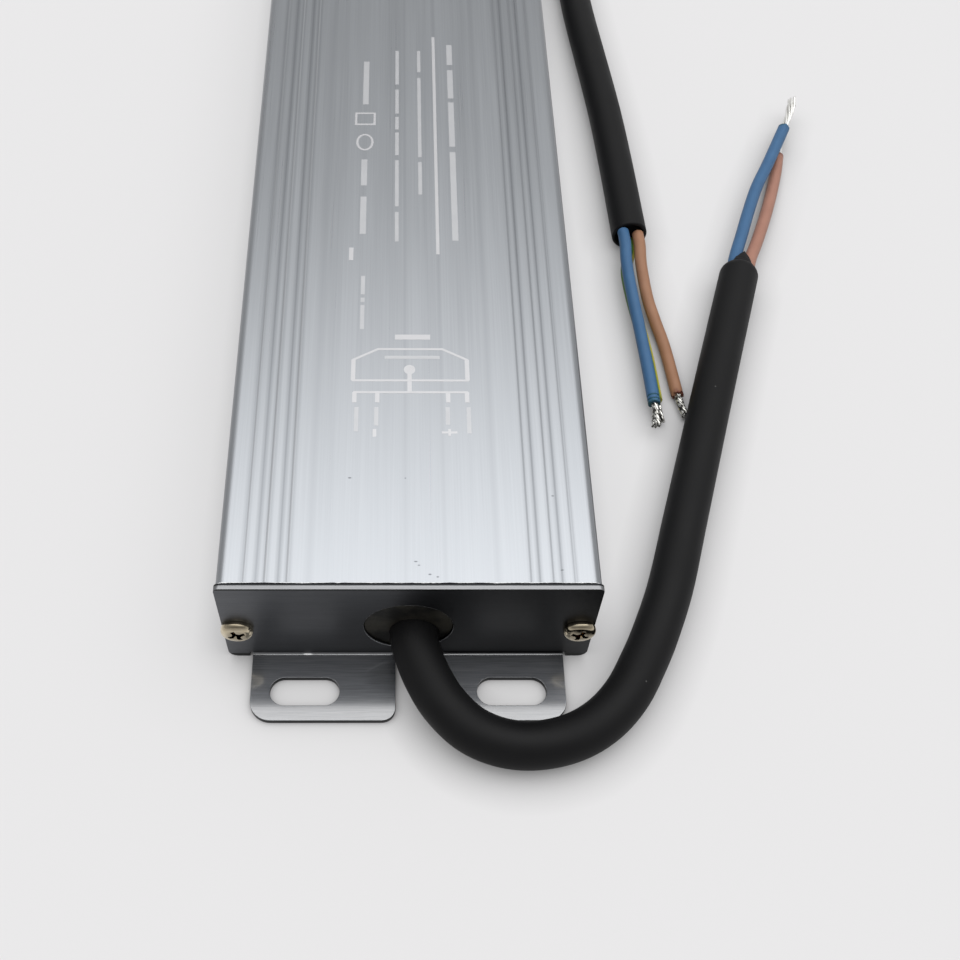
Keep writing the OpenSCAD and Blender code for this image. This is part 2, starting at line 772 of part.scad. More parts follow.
// Power part with a moulded body, a metal tab above it and three leads, back towards +X
module power_part(y) {
  body_h = 9.2;
  lead_h = 1.5;
  lead_t = 0.8;
  tab_h = headroom - tab_clear - lead_h - body_h;
  tab_t = 1.3;
  translate([0, y, board_top]) {
    translate([-transistor_t, -transistor_w / 2, lead_h]) cube([transistor_t, transistor_w, body_h]);
    translate([-tab_t, -transistor_w / 2, lead_h + body_h]) cube([tab_t, transistor_w, tab_h]);
    for (k = [-1, 0, 1]) translate([-transistor_t / 2, k * pin_pitch, lead_h])
      cube([lead_t, lead_t, 2 * lead_h], center = true);
  }
}

// The flat side of a heat spreader that the power parts lean on, clear of the screw channel
spreader_x = screw_x - channel_d / 2 - spreader_gap - spreader_t;

// Angle bar along a side wall, its upper flange under the top of the housing
module heat_spreader(y) {
  flange_w = cavity_w / 2 - spreader_x - spreader_gap;
  top = ceiling_z - spreader_gap;
  translate([0, y + spreader_l / 2, 0]) rotate([90, 0, 0]) linear_extrude(spreader_l) {
    translate([spreader_x, board_top]) square([spreader_t, top - board_top]);
    translate([spreader_x, top - spreader_t]) square([flange_w, spreader_t]);
  }
}

// Distance between the middles of the two power parts on one spreader
pair_pitch = 20;

// Insulating pads behind two power parts
module spreader_pads(y) {
  margin = 0.5;
  pad_h = headroom - tab_clear - 2 * margin;
  for (s = [-1, 1]) translate([spreader_x - pad_t, y + s * pair_pitch / 2, board_top + 2 * margin])
    translate([0, -transistor_w / 2 - margin, 0]) cube([pad_t, transistor_w + 2 * margin, pad_h]);
}

module power_pair(y) {
  for (s = [-1, 1]) translate([spreader_x - pad_t, 0, 0]) power_part(y + s * pair_pitch / 2);
}

module power_transistors() {
  color("black") power_pair(primary_y);
}

module transistor_pads() {
  color("lightgray") spreader_pads(primary_y);
}

module primary_heat_spreader() {
  color("silver") heat_spreader(primary_y);
}

module output_rectifiers() {
  color("black") mirror([1, 0, 0]) power_pair(secondary_y);
}

module rectifier_pads() {
  color("lightgray") mirror([1, 0, 0]) spreader_pads(secondary_y);
}

module secondary_heat_spreader() {
  color("silver") mirror([1, 0, 0]) heat_spreader(secondary_y);
}

// Moulded chip with two rows of legs, its body above the board
module chip(x, pairs) {
  body = [6.4, pairs * pin_pitch - 0.4, 3.2];
  body_lift = 0.5;
  leg = [1, 0.6, 2];
  translate([x, chip_y, board_top]) {
    translate([0, 0, body_lift + body.z / 2]) cube(body, center = true);
    for (s = [-1, 1], k = [0:pairs - 1])
      translate([s * body.x / 2, (k - (pairs - 1) / 2) * pin_pitch, leg.z / 2]) cube(leg, center = true);
  }
}

module control_chip() {
  color("black") chip(chip_x, 4);
}

module optocoupler() {
  color("whitesmoke") chip(coupler_x, 2);
}

module output_inductor_core() {
  color("olive") ring_core(inductor_x, inductor_y, inductor_d, inductor_bore, inductor_h);
}

module output_inductor_winding() {
  opening = 40;
  color("chocolate")
    ring_winding(inductor_x, inductor_y, inductor_d, inductor_bore, inductor_h,
      opening / 2, 360 - opening);
}

// Output capacitors standing on the board
module output_capacitors() {
  pitch = outcap_d + cap_space;
  color("darkolivegreen") for (i = [-0.5, 0.5], k = [-0.5, 0.5])
    translate([outcap_x + i * pitch, outcap_y + k * pitch, board_top])
      cylinder(h = headroom - outcap_gap, d = outcap_d);
}

// Short wire inside an end, beside the middle of its cable: straight out of the jacket, then down to the board
module inner_lead(place, side, d) {
  straight = 9;
  translate([place.x + side, jacket_seat - face_y, place.y]) {
    rotate([-90, 0, 0]) cylinder(h = straight, d = d);
    translate([0, straight, 0]) sphere(d = d);
    translate([0, straight, board_top - place.y]) cylinder(h = place.y - board_top, d = d);
  }
}

module output_inner_leads() {
  lead_pitch = 3.8;
  color("sienna") for (s = [-1, 1]) inner_lead(output_exit, s * lead_pitch / 2, output_core_d);
}

module input_inner_leads() {
  lead_pitch = input_core_d + cable_gap;
  color("steelblue") input_end() for (k = [-1:1]) inner_lead(input_exit, k * lead_pitch, input_core_d);
}

module output_cable_jacket() {
  color([0.13, 0.13, 0.13]) tube(output_route, output_cable_d, 12);
}

module input_cable_jacket() {
  color([0.13, 0.13, 0.13]) tube(input_route, input_cable_d, 12);
}

// Tinned strands that go on from the end of a core
module strand(route, d, l) {
  e = len(route) - 1;
  t = tangent(route, e);
  tube([route[e], route[e] + l * t], d, 8);
}

module output_blue_core() {
  color("steelblue") tube(output_blue, output_core_d, 8);
}

module output_brown_core() {
  color("sienna") tube(output_brown, output_core_d, 8);
}

module output_tinned_ends() {
  color("gainsboro") for (route = [output_blue, output_brown])
    strand(route, output_strand_d, output_strand_l);
}

module input_blue_core() {
  color("steelblue") tube(input_blue, input_core_d, 8);
}

module input_brown_core() {
  color("sienna") tube(input_brown, input_core_d, 8);
}

module input_earth_core() {
  color("yellowgreen") tube(input_earth, input_core_d, 8);
}

module input_tinned_ends() {
  color("gainsboro") for (route = [input_blue, input_brown, input_earth])
    strand(route, input_strand_d, input_strand_l);
}

housing();
output_end_plate();
input_end_plate();
output_gasket();
input_gasket();
output_gland_seal();
input_gland_seal();
output_end_screws();
input_end_screws();
potting_layer();
circuit_board();
fuse();
fuse_clips();
varistor();
thermistor();
interference_capacitor();
choke_core();
choke_windings();
safety_capacitors();
bridge_rectifier();
storage_capacitors();
transformer_core();
transformer_former();
transformer_winding();
transformer_pins();
power_transistors();
transistor_pads();
primary_heat_spreader();
output_rectifiers();
rectifier_pads();
secondary_heat_spreader();
control_chip();
optocoupler();
output_inductor_core();
output_inductor_winding();
output_capacitors();
output_inner_leads();
input_inner_leads();
output_cable_jacket();
output_blue_core();
output_brown_core();
output_tinned_ends();
input_cable_jacket();
input_blue_core();
input_brown_core();
input_earth_core();
input_tinned_ends();
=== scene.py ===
# A slim waterproof power supply, dressed and lit for a product photograph.
import math

import bmesh
import bpy
import numpy as np
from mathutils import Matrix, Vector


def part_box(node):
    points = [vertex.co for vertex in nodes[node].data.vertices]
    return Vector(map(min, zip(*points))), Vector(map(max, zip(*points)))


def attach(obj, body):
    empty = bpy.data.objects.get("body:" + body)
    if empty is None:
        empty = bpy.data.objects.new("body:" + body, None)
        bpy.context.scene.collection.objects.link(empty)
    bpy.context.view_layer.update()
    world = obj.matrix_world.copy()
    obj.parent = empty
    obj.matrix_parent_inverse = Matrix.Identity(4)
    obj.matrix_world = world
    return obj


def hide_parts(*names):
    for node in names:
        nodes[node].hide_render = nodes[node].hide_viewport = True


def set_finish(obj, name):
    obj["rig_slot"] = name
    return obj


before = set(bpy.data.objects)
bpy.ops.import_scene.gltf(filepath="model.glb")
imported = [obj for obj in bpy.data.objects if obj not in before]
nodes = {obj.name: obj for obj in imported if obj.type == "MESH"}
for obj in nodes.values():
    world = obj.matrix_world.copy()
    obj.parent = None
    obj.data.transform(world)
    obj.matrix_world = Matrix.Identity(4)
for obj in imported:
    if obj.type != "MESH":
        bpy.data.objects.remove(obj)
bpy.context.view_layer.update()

# Sizes are written in millimetres and turned to metres with this
MM = 0.001

# The body's own places, from the frame
housing_low, housing_high = [np.array(corner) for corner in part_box("housing")]
top_z = housing_high[2]
plate_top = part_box("output_end_plate")[1][2]
# The end plates' outer faces lie this far from the middle
face_y = 111 * MM

# Camera

CAMERA_PLACE = (-1.8 * MM, -212.35 * MM, 208.68 * MM)
CAMERA_YAW = math.radians(1.071)
CAMERA_PITCH = math.radians(56.953)
CAMERA_ROLL = math.radians(-0.959)
PICTURE = 960
FOCAL_PIXELS = 1206.7
CENTRE_PIXEL = (411.1, 504.6)
SENSOR = 36


def camera_axes(yaw, pitch, roll):
    """The camera's right, up and backward directions: turned by yaw from +Y, tipped down by pitch,
    then turned about its own line of sight by roll."""
    forward = np.array([math.sin(yaw) * math.cos(pitch), math.cos(yaw) * math.cos(pitch), -math.sin(pitch)])
    level = np.array([math.cos(yaw), -math.sin(yaw), 0])
    down = np.cross(forward, level)
    right = math.cos(roll) * level + math.sin(roll) * down
    low = math.cos(roll) * down - math.sin(roll) * level
    return right, -low, -forward


def linked(name, data):
    """A new object in the scene."""
    made = bpy.data.objects.new(name, data)
    bpy.context.scene.collection.objects.link(made)
    return made


def make_camera():
    data = bpy.data.cameras.new("product_camera")
    data.sensor_width = SENSOR
    data.sensor_fit = "HORIZONTAL"
    data.lens = FOCAL_PIXELS / PICTURE * SENSOR
    data.shift_x = 0.5 - CENTRE_PIXEL[0] / PICTURE
    data.shift_y = CENTRE_PIXEL[1] / PICTURE - 0.5
    data.clip_start = 0.01
    camera = linked("product_camera", data)
    axes = camera_axes(CAMERA_YAW, CAMERA_PITCH, CAMERA_ROLL)
    for column, axis in enumerate(axes + (CAMERA_PLACE,)):
        for row in range(3):
            camera.matrix_world[row][column] = axis[row]
    bpy.context.scene.camera = camera


make_camera()

# Surfaces


def mesh_piece(name, vertices, faces, uvs=None):
    """A new object from arrays of corners and of four-sided faces, with a UV pair for each face corner."""
    mesh = bpy.data.meshes.new(name)
    mesh.from_pydata(vertices.tolist(), [], faces.tolist())
    if uvs is not None:
        layer = mesh.uv_layers.new(name="along")
        layer.data.foreach_set("uv", uvs.reshape(-1).astype(np.float32))
    mesh.polygons.foreach_set("use_smooth", np.ones(len(faces), bool))
    mesh.update()
    return linked(name, mesh)


def grid_piece(name, points, lengths=None):
    """A surface through a grid of points, rows by columns, whose last column meets the first. Its UV runs
    once round the columns and, in metres, along the rows."""
    rows, columns = points.shape[:2]
    row, column = np.meshgrid(np.arange(rows - 1), np.arange(columns), indexing="ij")
    following = (column + 1) % columns
    faces = np.stack([
        row * columns + column,
        row * columns + following,
        (row + 1) * columns + following,
        (row + 1) * columns + column,
    ], -1).reshape(-1, 4)
    if lengths is None:
        lengths = np.arange(rows) * MM
    u = np.stack([column, column + 1, column + 1, column], -1) / columns
    v = np.stack([lengths[row], lengths[row], lengths[row + 1], lengths[row + 1]], -1)
    return mesh_piece(name, points.reshape(-1, 3), faces, np.stack([u, v], -1).reshape(-1, 2))


def seal(piece):
    """Merge the points that lie together, such as a pole's, and turn every face outwards."""
    work = bmesh.new()
    work.from_mesh(piece.data)
    bmesh.ops.remove_doubles(work, verts=work.verts, dist=0.001 * MM)
    bmesh.ops.recalc_face_normals(work, faces=work.faces)
    work.to_mesh(piece.data)
    work.free()
    return piece


def join(name, pieces):
    """One object out of several, which are removed."""
    mesh = bpy.data.meshes.new(name)
    work = bmesh.new()
    for piece in pieces:
        work.from_mesh(piece.data)
    work.to_mesh(mesh)
    work.free()
    whole = linked(name, mesh)
    for piece in pieces:
        bpy.data.objects.remove(piece)
    return whole


# An edge that turns by more than this is rounded
SHARP = math.radians(40)


def softened(node_name, radius):
    """A copy of a CAD piece with its edges rolled over by radius: its points are merged, its flat faces made
    whole, and each sharp edge rounded. Large faces keep their own flat shading, because a corner takes its
    normal from the larger faces around it. The rolled edges take the piece's second finish."""
    mesh = bpy.data.meshes.new(node_name + "_softened")
    work = bmesh.new()
    work.from_mesh(nodes[node_name].data)
    bmesh.ops.remove_doubles(work, verts=work.verts, dist=0.002 * MM)
    bmesh.ops.dissolve_limit(work, angle_limit=math.radians(0.5), verts=work.verts, edges=work.edges)
    creases = [edge for edge in work.edges
               if len(edge.link_faces) == 2 and edge.calc_face_angle(0) > SHARP]
    bmesh.ops.bevel(work, geom=creases, offset=radius, offset_type="OFFSET", segments=3,
                    profile=0.5, affect="EDGES", clamp_overlap=True, harden_normals=False, material=1)
    bmesh.ops.recalc_face_normals(work, faces=work.faces)
    for face in work.faces:
        face.smooth = True
    work.to_mesh(mesh)
    work.free()
    mesh.set_sharp_from_angle(angle=SHARP)
    piece = linked(mesh.name, mesh)
    even = piece.modifiers.new("even_shading", "WEIGHTED_NORMAL")
    even.keep_sharp = True
    even.weight = 80
    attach(piece, "root")
    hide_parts(node_name)
    return piece


def unit(vectors):
    vectors = np.asarray(vectors, float)
    return vectors / np.linalg.norm(vectors, axis=-1, keepdims=True)


def distances(line):
    """How far along a line each of its points lies."""
    return np.concatenate([[0], np.cumsum(np.linalg.norm(np.diff(line, axis=0), axis=1))])


def smooth_line(points, floor, step=1.0 * MM):
    """A smooth line through the points. Each span is a cubic whose slope at a point is half the step between
    that point's neighbours. It is then cut into equal steps, and kept above floor."""
    ends = np.vstack([2 * points[0] - points[1], points, 2 * points[-1] - points[-2]])
    before, start, stop, after = ends[:-3, None], ends[1:-2, None], ends[2:-1, None], ends[3:, None]
    t = np.linspace(0, 1, 24, endpoint=False)[None, :, None]
    cubic = 0.5 * (
        2 * start
        + (stop - before) * t
        + (2 * before - 5 * start + 4 * stop - after) * t ** 2
        + (3 * start - before - 3 * stop + after) * t ** 3
    )
    line = np.vstack([cubic.reshape(-1, 3), points[-1:]])
    travelled = distances(line)
    even = np.linspace(0, travelled[-1], int(travelled[-1] / step) + 2)
    line = np.stack([np.interp(even, travelled, line[:, axis]) for axis in range(3)], 1)
    line[:, 2] = np.maximum(line[:, 2], floor)
    return line


def turns(count):
    """Angles evenly round a circle."""
    return np.linspace(0, 2 * np.pi, count, endpoint=False)


def cross_directions(line):
    """For each point of a line that never stands upright: the level direction across it, and the one that
    completes the square."""
    along = unit(np.gradient(line, axis=0))
    across = unit(np.cross(along, [0, 0, 1]))
    return across, np.cross(across, along)


def spokes(across, up, around):
    """Directions out from a line's points: at angle a, cosine a across plus sine a up."""
    angle = turns(around)
    return np.cos(angle)[None, :, None] * across[:, None] + np.sin(angle)[None, :, None] * up[:, None]


def tube_points(line, radii, around):
    """Rings of points about a line. radii is one value for each ring, or one for each ring and angle."""
    radii = np.broadcast_to(np.asarray(radii, float).reshape(len(line), -1), (len(line), around))
    return line[:, None] + radii[..., None] * spokes(*cross_directions(line), around)


def ripple(count, reach, seed):
    """A smooth random row of values from -1 to 1: white noise averaged over reach neighbours."""
    white = np.random.default_rng(seed).normal(size=count + 4 * reach)
    window = np.hanning(2 * reach + 1)
    soft = np.convolve(white, window / window.sum(), "same")[2 * reach:2 * reach + count]
    return soft / max(np.abs(soft).max(), 1e-9)


# Cords

jacket_d = {"output": 8.8 * MM, "input": 8.2 * MM}
core_d = {"output": 2.9 * MM, "input": 2.7 * MM}
strand_d = {"output": 1.8 * MM, "input": 1.6 * MM}
strip_l = {"output": 12 * MM, "input": 6.5 * MM}
core_straight = 4 * MM

# Where each jacket goes through its gland: distance across, height
output_x, output_z = 1.0432, 9.1339
input_x, input_z = 1.1458, 8.852

output_route = MM * np.array([
    [output_x, -103.5, output_z], [output_x, -108, output_z], [output_x, -112, output_z], [1.9, -115.4, 8.7],
    [3.7, -119.6, 7.7], [6.6, -124.1, 6.6], [11.3, -128.3, 5.4], [17.2, -130.5, 4.6], [23.5, -130.8, 4.4],
    [30, -129.2, 4.4], [35.6, -125.8, 4.4], [40.2, -120.8, 4.4], [43.8, -114.6, 4.4],
    [47, -108, 4.4], [51, -98, 4.4], [56, -82, 4.4], [66, -50, 4.4], [77.4, -14, 4.4],
])
input_route = MM * np.array([
    [input_x, 103.5, input_z], [input_x, 108, input_z], [input_x, 112, input_z], [1.9, 116, 8.5],
    [3.5, 121, 7.5], [6.6, 126, 6.2],
    [12, 130, 4.9], [18.5, 131.8, 4.3], [25.5, 131.2, 4.1], [32, 128.2, 4.1], [37.6, 123, 4.1],
    [41.8, 116, 4.1], [44.6, 107, 4.1], [46.6, 96, 4.1], [47.6, 80, 4.1], [50.6, 45, 4.1],
    [51.8, 24, 4.1], [52.8, -3.2, 4.1],
])
routes = {"output": output_route, "input": input_route}

# Each core: where it leaves its jacket's end, level across it and above its middle, and the rest of its way
core_ways = {
    "output_blue": (-1.7, 0.3, [[79.2, -3.7, 4.7], [82.2, 4.6, 4.5], [85.6, 13.2, 4.4], [89.9, 21.9, 4.4],
                                [96, 34.8, 4.6]]),
    "output_brown": (1.8, 0, [[83.1, -4.3, 3.4], [86.8, 5, 2.3], [90.1, 14.2, 1.6], [92.5, 21.9, 1.5],
                              [94, 27.8, 1.5]]),
    "input_blue": (1.8, 1.6, [[50.9, -14, 5.4], [51.4, -23.3, 4.7], [52.1, -32.4, 4.1], [52.7, -43.5, 3.9],
                              [53, -53.4, 3.9]]),
    "input_brown": (-1.8, 0.7, [[54.6, -12.6, 4], [55.2, -21.5, 2.8], [56.4, -28, 1.9], [57.8, -35.6, 1.4],
                                [59, -49.1, 1.4]]),
    "input_earth": (0.3, -1.5, [[51.6, -12, 1.5], [51.9, -20.2, 1.4], [52.9, -30, 1.4], [53.7, -39.2, 1.4],
                                [54.2, -50.6, 1.4]]),
}


def core_route(end, side, rise, rest):
    """A core's points: beside the middle of its jacket's end, straight on a little, then along the rest."""
    route = routes[end]
    along = unit(route[-1] - route[-2])
    across = unit(np.cross(along, [0, 0, 1]))
    start = route[-1] + side * MM * across + np.array([0, 0, rise * MM])
    return np.vstack([start, start + core_straight * along, MM * np.array(rest)])


def domed_end(radius, shoulder):
    """Radii of the rings that close a cord's end, and how far each lies ahead of the line's end: a quarter
    circle of radius shoulder, then a flat middle."""
    bend = np.linspace(0, np.pi / 2, 10)
    radii = np.concatenate([radius - shoulder * (1 - np.cos(bend)), [(radius - shoulder) / 2, 0]])
    ahead = np.concatenate([shoulder * (np.sin(bend) - 1), [0, 0]])
    return radii, ahead


def hollow_end(radius, wall, depth):
    """The same for an open sheath: a half circle over the wall's rim, the inside of the wall, and a floor
    sunk by depth."""
    bend = np.linspace(0, np.pi, 11)
    inside = (radius - wall) * np.array([1, 0.98, 0.9, 0.5, 0])
    radii = np.concatenate([radius - wall / 2 * (1 - np.cos(bend)), inside])
    ahead = np.concatenate([wall / 2 * (np.sin(bend) - 1), -depth * np.array([0.5, 0.85, 1, 1, 1])])
    return radii, ahead


# A cord's near end is rounded by NEAR_DOME. Its rings follow its line's points from NEAR_PART on until
# COARSE_PART before the far end, and lie FINE_STEP apart in the last FINE_PART
NEAR_DOME, NEAR_PART = 0.25 * MM, 0.3 * MM
COARSE_PART, FINE_PART, FINE_STEP = 3.7 * MM, 3.5 * MM, 0.08 * MM
# How deep a nick is, and how broad
NICK = 0.16 * MM


def cord_tube(name, line, radius, around, far_profile, ragged, nicks=()):
    """A round cord: rings along its line, closer together in its last millimetres, closed by a small dome
    where it starts and by far_profile where it ends. The cut there is uneven by ragged. Each nick is the
    distance of a ring-shaped cut from the end, where the radius dips by a bell curve. Two point attributes
    serve the finish: nick says how deep a ring is cut, and to_end how far it is from the end."""
    near_radii, near_ahead = domed_end(radius, NEAR_DOME)
    far_radii, far_ahead = far_profile
    travelled = distances(line)
    whole = travelled[-1]
    fine = np.arange(whole - FINE_PART, whole + far_ahead[0] - FINE_STEP / 2, FINE_STEP)
    coarse = travelled[(travelled > NEAR_PART) & (travelled < whole - COARSE_PART)]
    place = np.concatenate([0 * near_radii, coarse, fine, whole + far_ahead])
    depth = sum((np.exp(-((whole - place - nick) / NICK) ** 2) for nick in nicks), 0 * place)
    depth[-len(far_radii):] = 0
    radii = np.concatenate([near_radii[::-1], np.full(len(coarse) + len(fine), radius), far_radii])
    radii = radii - NICK * depth
    middle, across, up = [np.stack([np.interp(place, travelled, row[:, axis]) for axis in range(3)], 1)
                          for row in (line, *cross_directions(line))]
    end_way = unit(line[-1] - line[-2])
    middle[:len(near_radii)] = line[0] + near_ahead[::-1, None] * unit(line[0] - line[1])
    middle[-len(far_radii):] = line[-1] + far_ahead[:, None] * end_way
    points = middle[:, None] + radii[:, None, None] * spokes(across, up, around)
    uneven = ragged * ripple(around, 2, around + len(line))
    points[-len(far_radii):] += (uneven * np.minimum(1, far_radii[:, None] / radius))[..., None] * end_way
    piece = grid_piece(name, points, lengths=place)
    for label, values in (("nick", depth), ("to_end", whole - place)):
        marks = piece.data.attributes.new(label, "FLOAT", "POINT")
        marks.data.foreach_set("value", np.repeat(values, around).astype(np.float32))
    return seal(piece)


# Strands are pressed a little together. At random, each strays out and round from its place, and ends short
PRESSED, STRAY_OUT, STRAY_ROUND, CUT_SHORT = 0.96, 0.06, 0.15, 0.07


def strand_bundle(name, start, heading, length, radius, seed, pitch, bend, flare):
    """Twisted strands: one in the middle and six about it, each a thin tube on a helix of the given pitch.
    The bundle leans sideways by bend times the square of the way along it, and opens by flare likewise."""
    strand = radius / 3
    count, around = 60, 10
    travel = np.linspace(0, 1, count)
    draw = np.random.default_rng(seed)
    across = unit(np.cross(heading, [0, 0, 1]))
    up = np.cross(across, heading)
    spine = start + travel[:, None] * length * heading + (bend * travel ** 2)[:, None] * across
    parts = []
    for index in range(7):
        apart = 0 if index == 0 else 2 * strand * (PRESSED + STRAY_OUT * draw.normal())
        out = apart * (1 + flare * travel ** 2)
        phase = index * np.pi / 3 + STRAY_ROUND * draw.normal()
        turn = phase + 2 * np.pi * length / pitch * travel
        end = int(count * (1 - CUT_SHORT * abs(draw.normal())))
        line = spine + (out * np.cos(turn))[:, None] * across + (out * np.sin(turn))[:, None] * up
        line = line[:end]
        ring = tube_points(line, strand * np.ones(end), around)
        tip = np.repeat(line[-1:, None] + 0.3 * strand * heading, around, 1)
        root = np.repeat(line[:1, None], around, 1)
        parts.append(grid_piece(name + str(index), np.vstack([root, ring, tip])))
    return seal(join(name, parts))


# The tongue starts this far back from its jacket's end and above its middle, and dips by this slope
TONGUE_BACK, TONGUE_UP, TONGUE_DIP = 1.8 * MM, 2.4 * MM, 0.12
# Its size, how flat it is, the power by which it narrows, and how rough its outline is
TONGUE_LENGTH, TONGUE_WIDTH, TONGUE_FLATNESS = 6 * MM, 4.9 * MM, 0.4
TONGUE_POWER, TONGUE_ROUGH = 1.6, 0.12


def torn_tongue(name, start, heading, seed):
    """A torn tongue of rubber: flattened rings whose radius falls with a power of the way along."""
    count, around = 14, 24
    travel = np.linspace(0, 1, count)
    line = start + travel[:, None] * TONGUE_LENGTH * heading
    rough = 1 + TONGUE_ROUGH * np.stack([ripple(around, 2, seed + index) for index in range(count)])
    radii = TONGUE_WIDTH / 2 * (1 - travel ** TONGUE_POWER)[:, None] * rough
    points = tube_points(line, radii, around)
    points[..., 2] = line[:, None, 2] + (points[..., 2] - line[:, None, 2]) * TONGUE_FLATNESS
    return seal(grid_piece(name, np.concatenate([np.repeat(line[:1, None], around, 1), points])))


lines = {end: smooth_line(route, floor=jacket_d[end] / 2) for end, route in routes.items()}
jacket_ends = {
    "output": domed_end(jacket_d["output"] / 2, 2.6 * MM),
    "input": hollow_end(jacket_d["input"] / 2, 0.9 * MM, 3 * MM),
}
strand_pitch = {"output": 22 * MM, "input": 8 * MM}
tip_bend = {"output_blue": -0.9 * MM, "input_blue": 0.5 * MM, "input_brown": -0.6 * MM}
tip_flare = {"output_blue": 0.75, "input_blue": 0.55, "input_earth": 0.4, "input_brown": 0.35}
ragged_cut = {"input_brown": 0.45 * MM, "output_blue": 0.15 * MM}
nicks = {"input_blue": (0.9 * MM, 1.9 * MM)}
jackets = {end: cord_tube(end + "_jacket", line, jacket_d[end] / 2, 64, jacket_ends[end], 0.1 * MM)
           for end, line in lines.items()}
output_way = unit(lines["output"][-1] - lines["output"][-2])
tongue_start = lines["output"][-1] - TONGUE_BACK * output_way + [0, 0, TONGUE_UP]
tongue = torn_tongue("output_jacket_tongue", tongue_start, unit(output_way + [0, 0, -TONGUE_DIP]), 5)
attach(tongue, "root")
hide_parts("output_cable_jacket")
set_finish(tongue, "cable_rubber")
tips = {}
cores = {}
for name, (side, rise, rest) in core_ways.items():
    end = name.split("_")[0]
    line = smooth_line(core_route(end, side, rise, rest), floor=core_d[end] / 2, step=0.5 * MM)
    way = unit(line[-1] - line[-2])
    cores[name] = cord_tube(name + "_insulation", line, core_d[end] / 2, 32,
                            domed_end(core_d[end] / 2, 0.2 * MM), ragged_cut.get(name, 0.08 * MM),
                            nicks.get(name, ()))
    tips[name] = strand_bundle(name + "_strands", line[-1] - 0.5 * MM * way, way, strip_l[end],
                               strand_d[end] / 2, len(name), strand_pitch[end], tip_bend.get(name, 0.0),
                               tip_flare.get(name, 0.2))
    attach(cores[name], "root")
    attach(tips[name], "root")
    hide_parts(name + "_core")
    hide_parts(end + "_tinned_ends")
    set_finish(cores[name], name.split("_")[1] + "_insulation")
    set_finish(tips[name], "tinned_copper")
for end, line in lines.items():
    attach(jackets[end], "root")
    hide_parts(end + "_cable_jacket")
    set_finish(jackets[end], "cable_rubber")

# Sheet metal, seals and screws with their edges as the press and the mould leave them

# For each slot: the pieces' ending, and how far their edges are rounded
ROUNDINGS = {"brushed_sheet": ("_end_plate", 0.12 * MM), "black_rubber": ("_gland_seal", 0.15 * MM),
             "nickel_steel": ("_end_screws", 0.08 * MM)}
softened_pieces = {slot: [softened(end + ending, radius) for end in routes]
                   for slot, (ending, radius) in ROUNDINGS.items()}
for slot, made in softened_pieces.items():
    for piece in made:
        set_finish(piece, slot)

# The sawn edge of the extrusion, and the gasket that the plate squeezes out of the joint

EDGE_FOOT = 3 * MM
CORNER_R = 1.7 * MM
OUTLINE_STEP = 0.15 * MM
BURR_UP = 0.13 * MM
BURR_OUT = 0.11 * MM
# Its usual strength and its limits, and the strength and the span of its long and its short waves
BURR_USUAL, BURR_LEAST, BURR_MOST = 0.55, 0.12, 1.3
LONG_WAVES, SHORT_WAVES = (0.5, 12), (0.35, 3)
GASKET_T = 0.3 * MM
BEAD_UP = 0.05 * MM


def cut_outline():
    """Points and outward directions along the housing's outline in the plane across its length: up one side
    from EDGE_FOOT, round a corner of radius CORNER_R, over the top, and down the other side."""
    left, right = housing_low[0], housing_high[0]
    up = np.arange(EDGE_FOOT, top_z - CORNER_R, OUTLINE_STEP)
    over = np.arange(left + CORNER_R, right - CORNER_R, OUTLINE_STEP)
    bend = np.linspace(0, np.pi / 2, 16)[1:-1]
    ones, zeros = np.ones_like, np.zeros_like
    x = np.concatenate([left * ones(up), left + CORNER_R * (1 - np.cos(bend)), over,
                        right - CORNER_R * (1 - np.sin(bend)), right * ones(up)])
    z = np.concatenate([up, top_z - CORNER_R * (1 - np.sin(bend)), top_z * ones(over),
                        top_z - CORNER_R * (1 - np.cos(bend)), up[::-1]])
    out_x = np.concatenate([-ones(up), -np.cos(bend), zeros(over), np.sin(bend), ones(up)])
    out_z = np.concatenate([zeros(up), np.sin(bend), ones(over), np.cos(bend), zeros(up)])
    return np.stack([x, z], 1), np.stack([out_x, out_z], 1)


def fixed_piece(name, points, slot):
    """A closed surface through rings of points that stays with the body."""
    piece = seal(grid_piece(name, points))
    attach(piece, "root")
    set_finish(piece, slot)
    return piece


def edge_rod(name, end_y, way, half_up, half_out, slot):
    """A thin rod along the outline that stands out of the joint: rings of an oval that touches the cut face.
    Its half widths are one value, or one for each ring."""
    places, outward = cut_outline()
    angle = turns(8)
    rise = np.broadcast_to(half_up * np.cos(angle), (len(places), 8))
    reach = np.broadcast_to(half_out * (1 + np.sin(angle)), (len(places), 8))
    return fixed_piece(name, np.stack([
        places[:, 0, None] + rise * outward[:, 0, None],
        end_y + way * reach,
        places[:, 1, None] + rise * outward[:, 1, None],
    ], -1), slot)


def burr_swell(seed):
    """How strong the thin wire edge that a saw leaves is at each point of the outline: it swells and shrinks
    at random, in long waves and short ones, and fades out at its two feet."""
    count = len(cut_outline()[0])
    long, short = [strength * ripple(count, span, seed + index)
                   for index, (strength, span) in enumerate((LONG_WAVES, SHORT_WAVES))]
    swell = np.clip(BURR_USUAL + long + short, BURR_LEAST, BURR_MOST)
    fade = np.clip(np.minimum(np.arange(count), np.arange(count)[::-1]) / LONG_WAVES[1], 0, 1)
    return (swell * fade)[:, None]


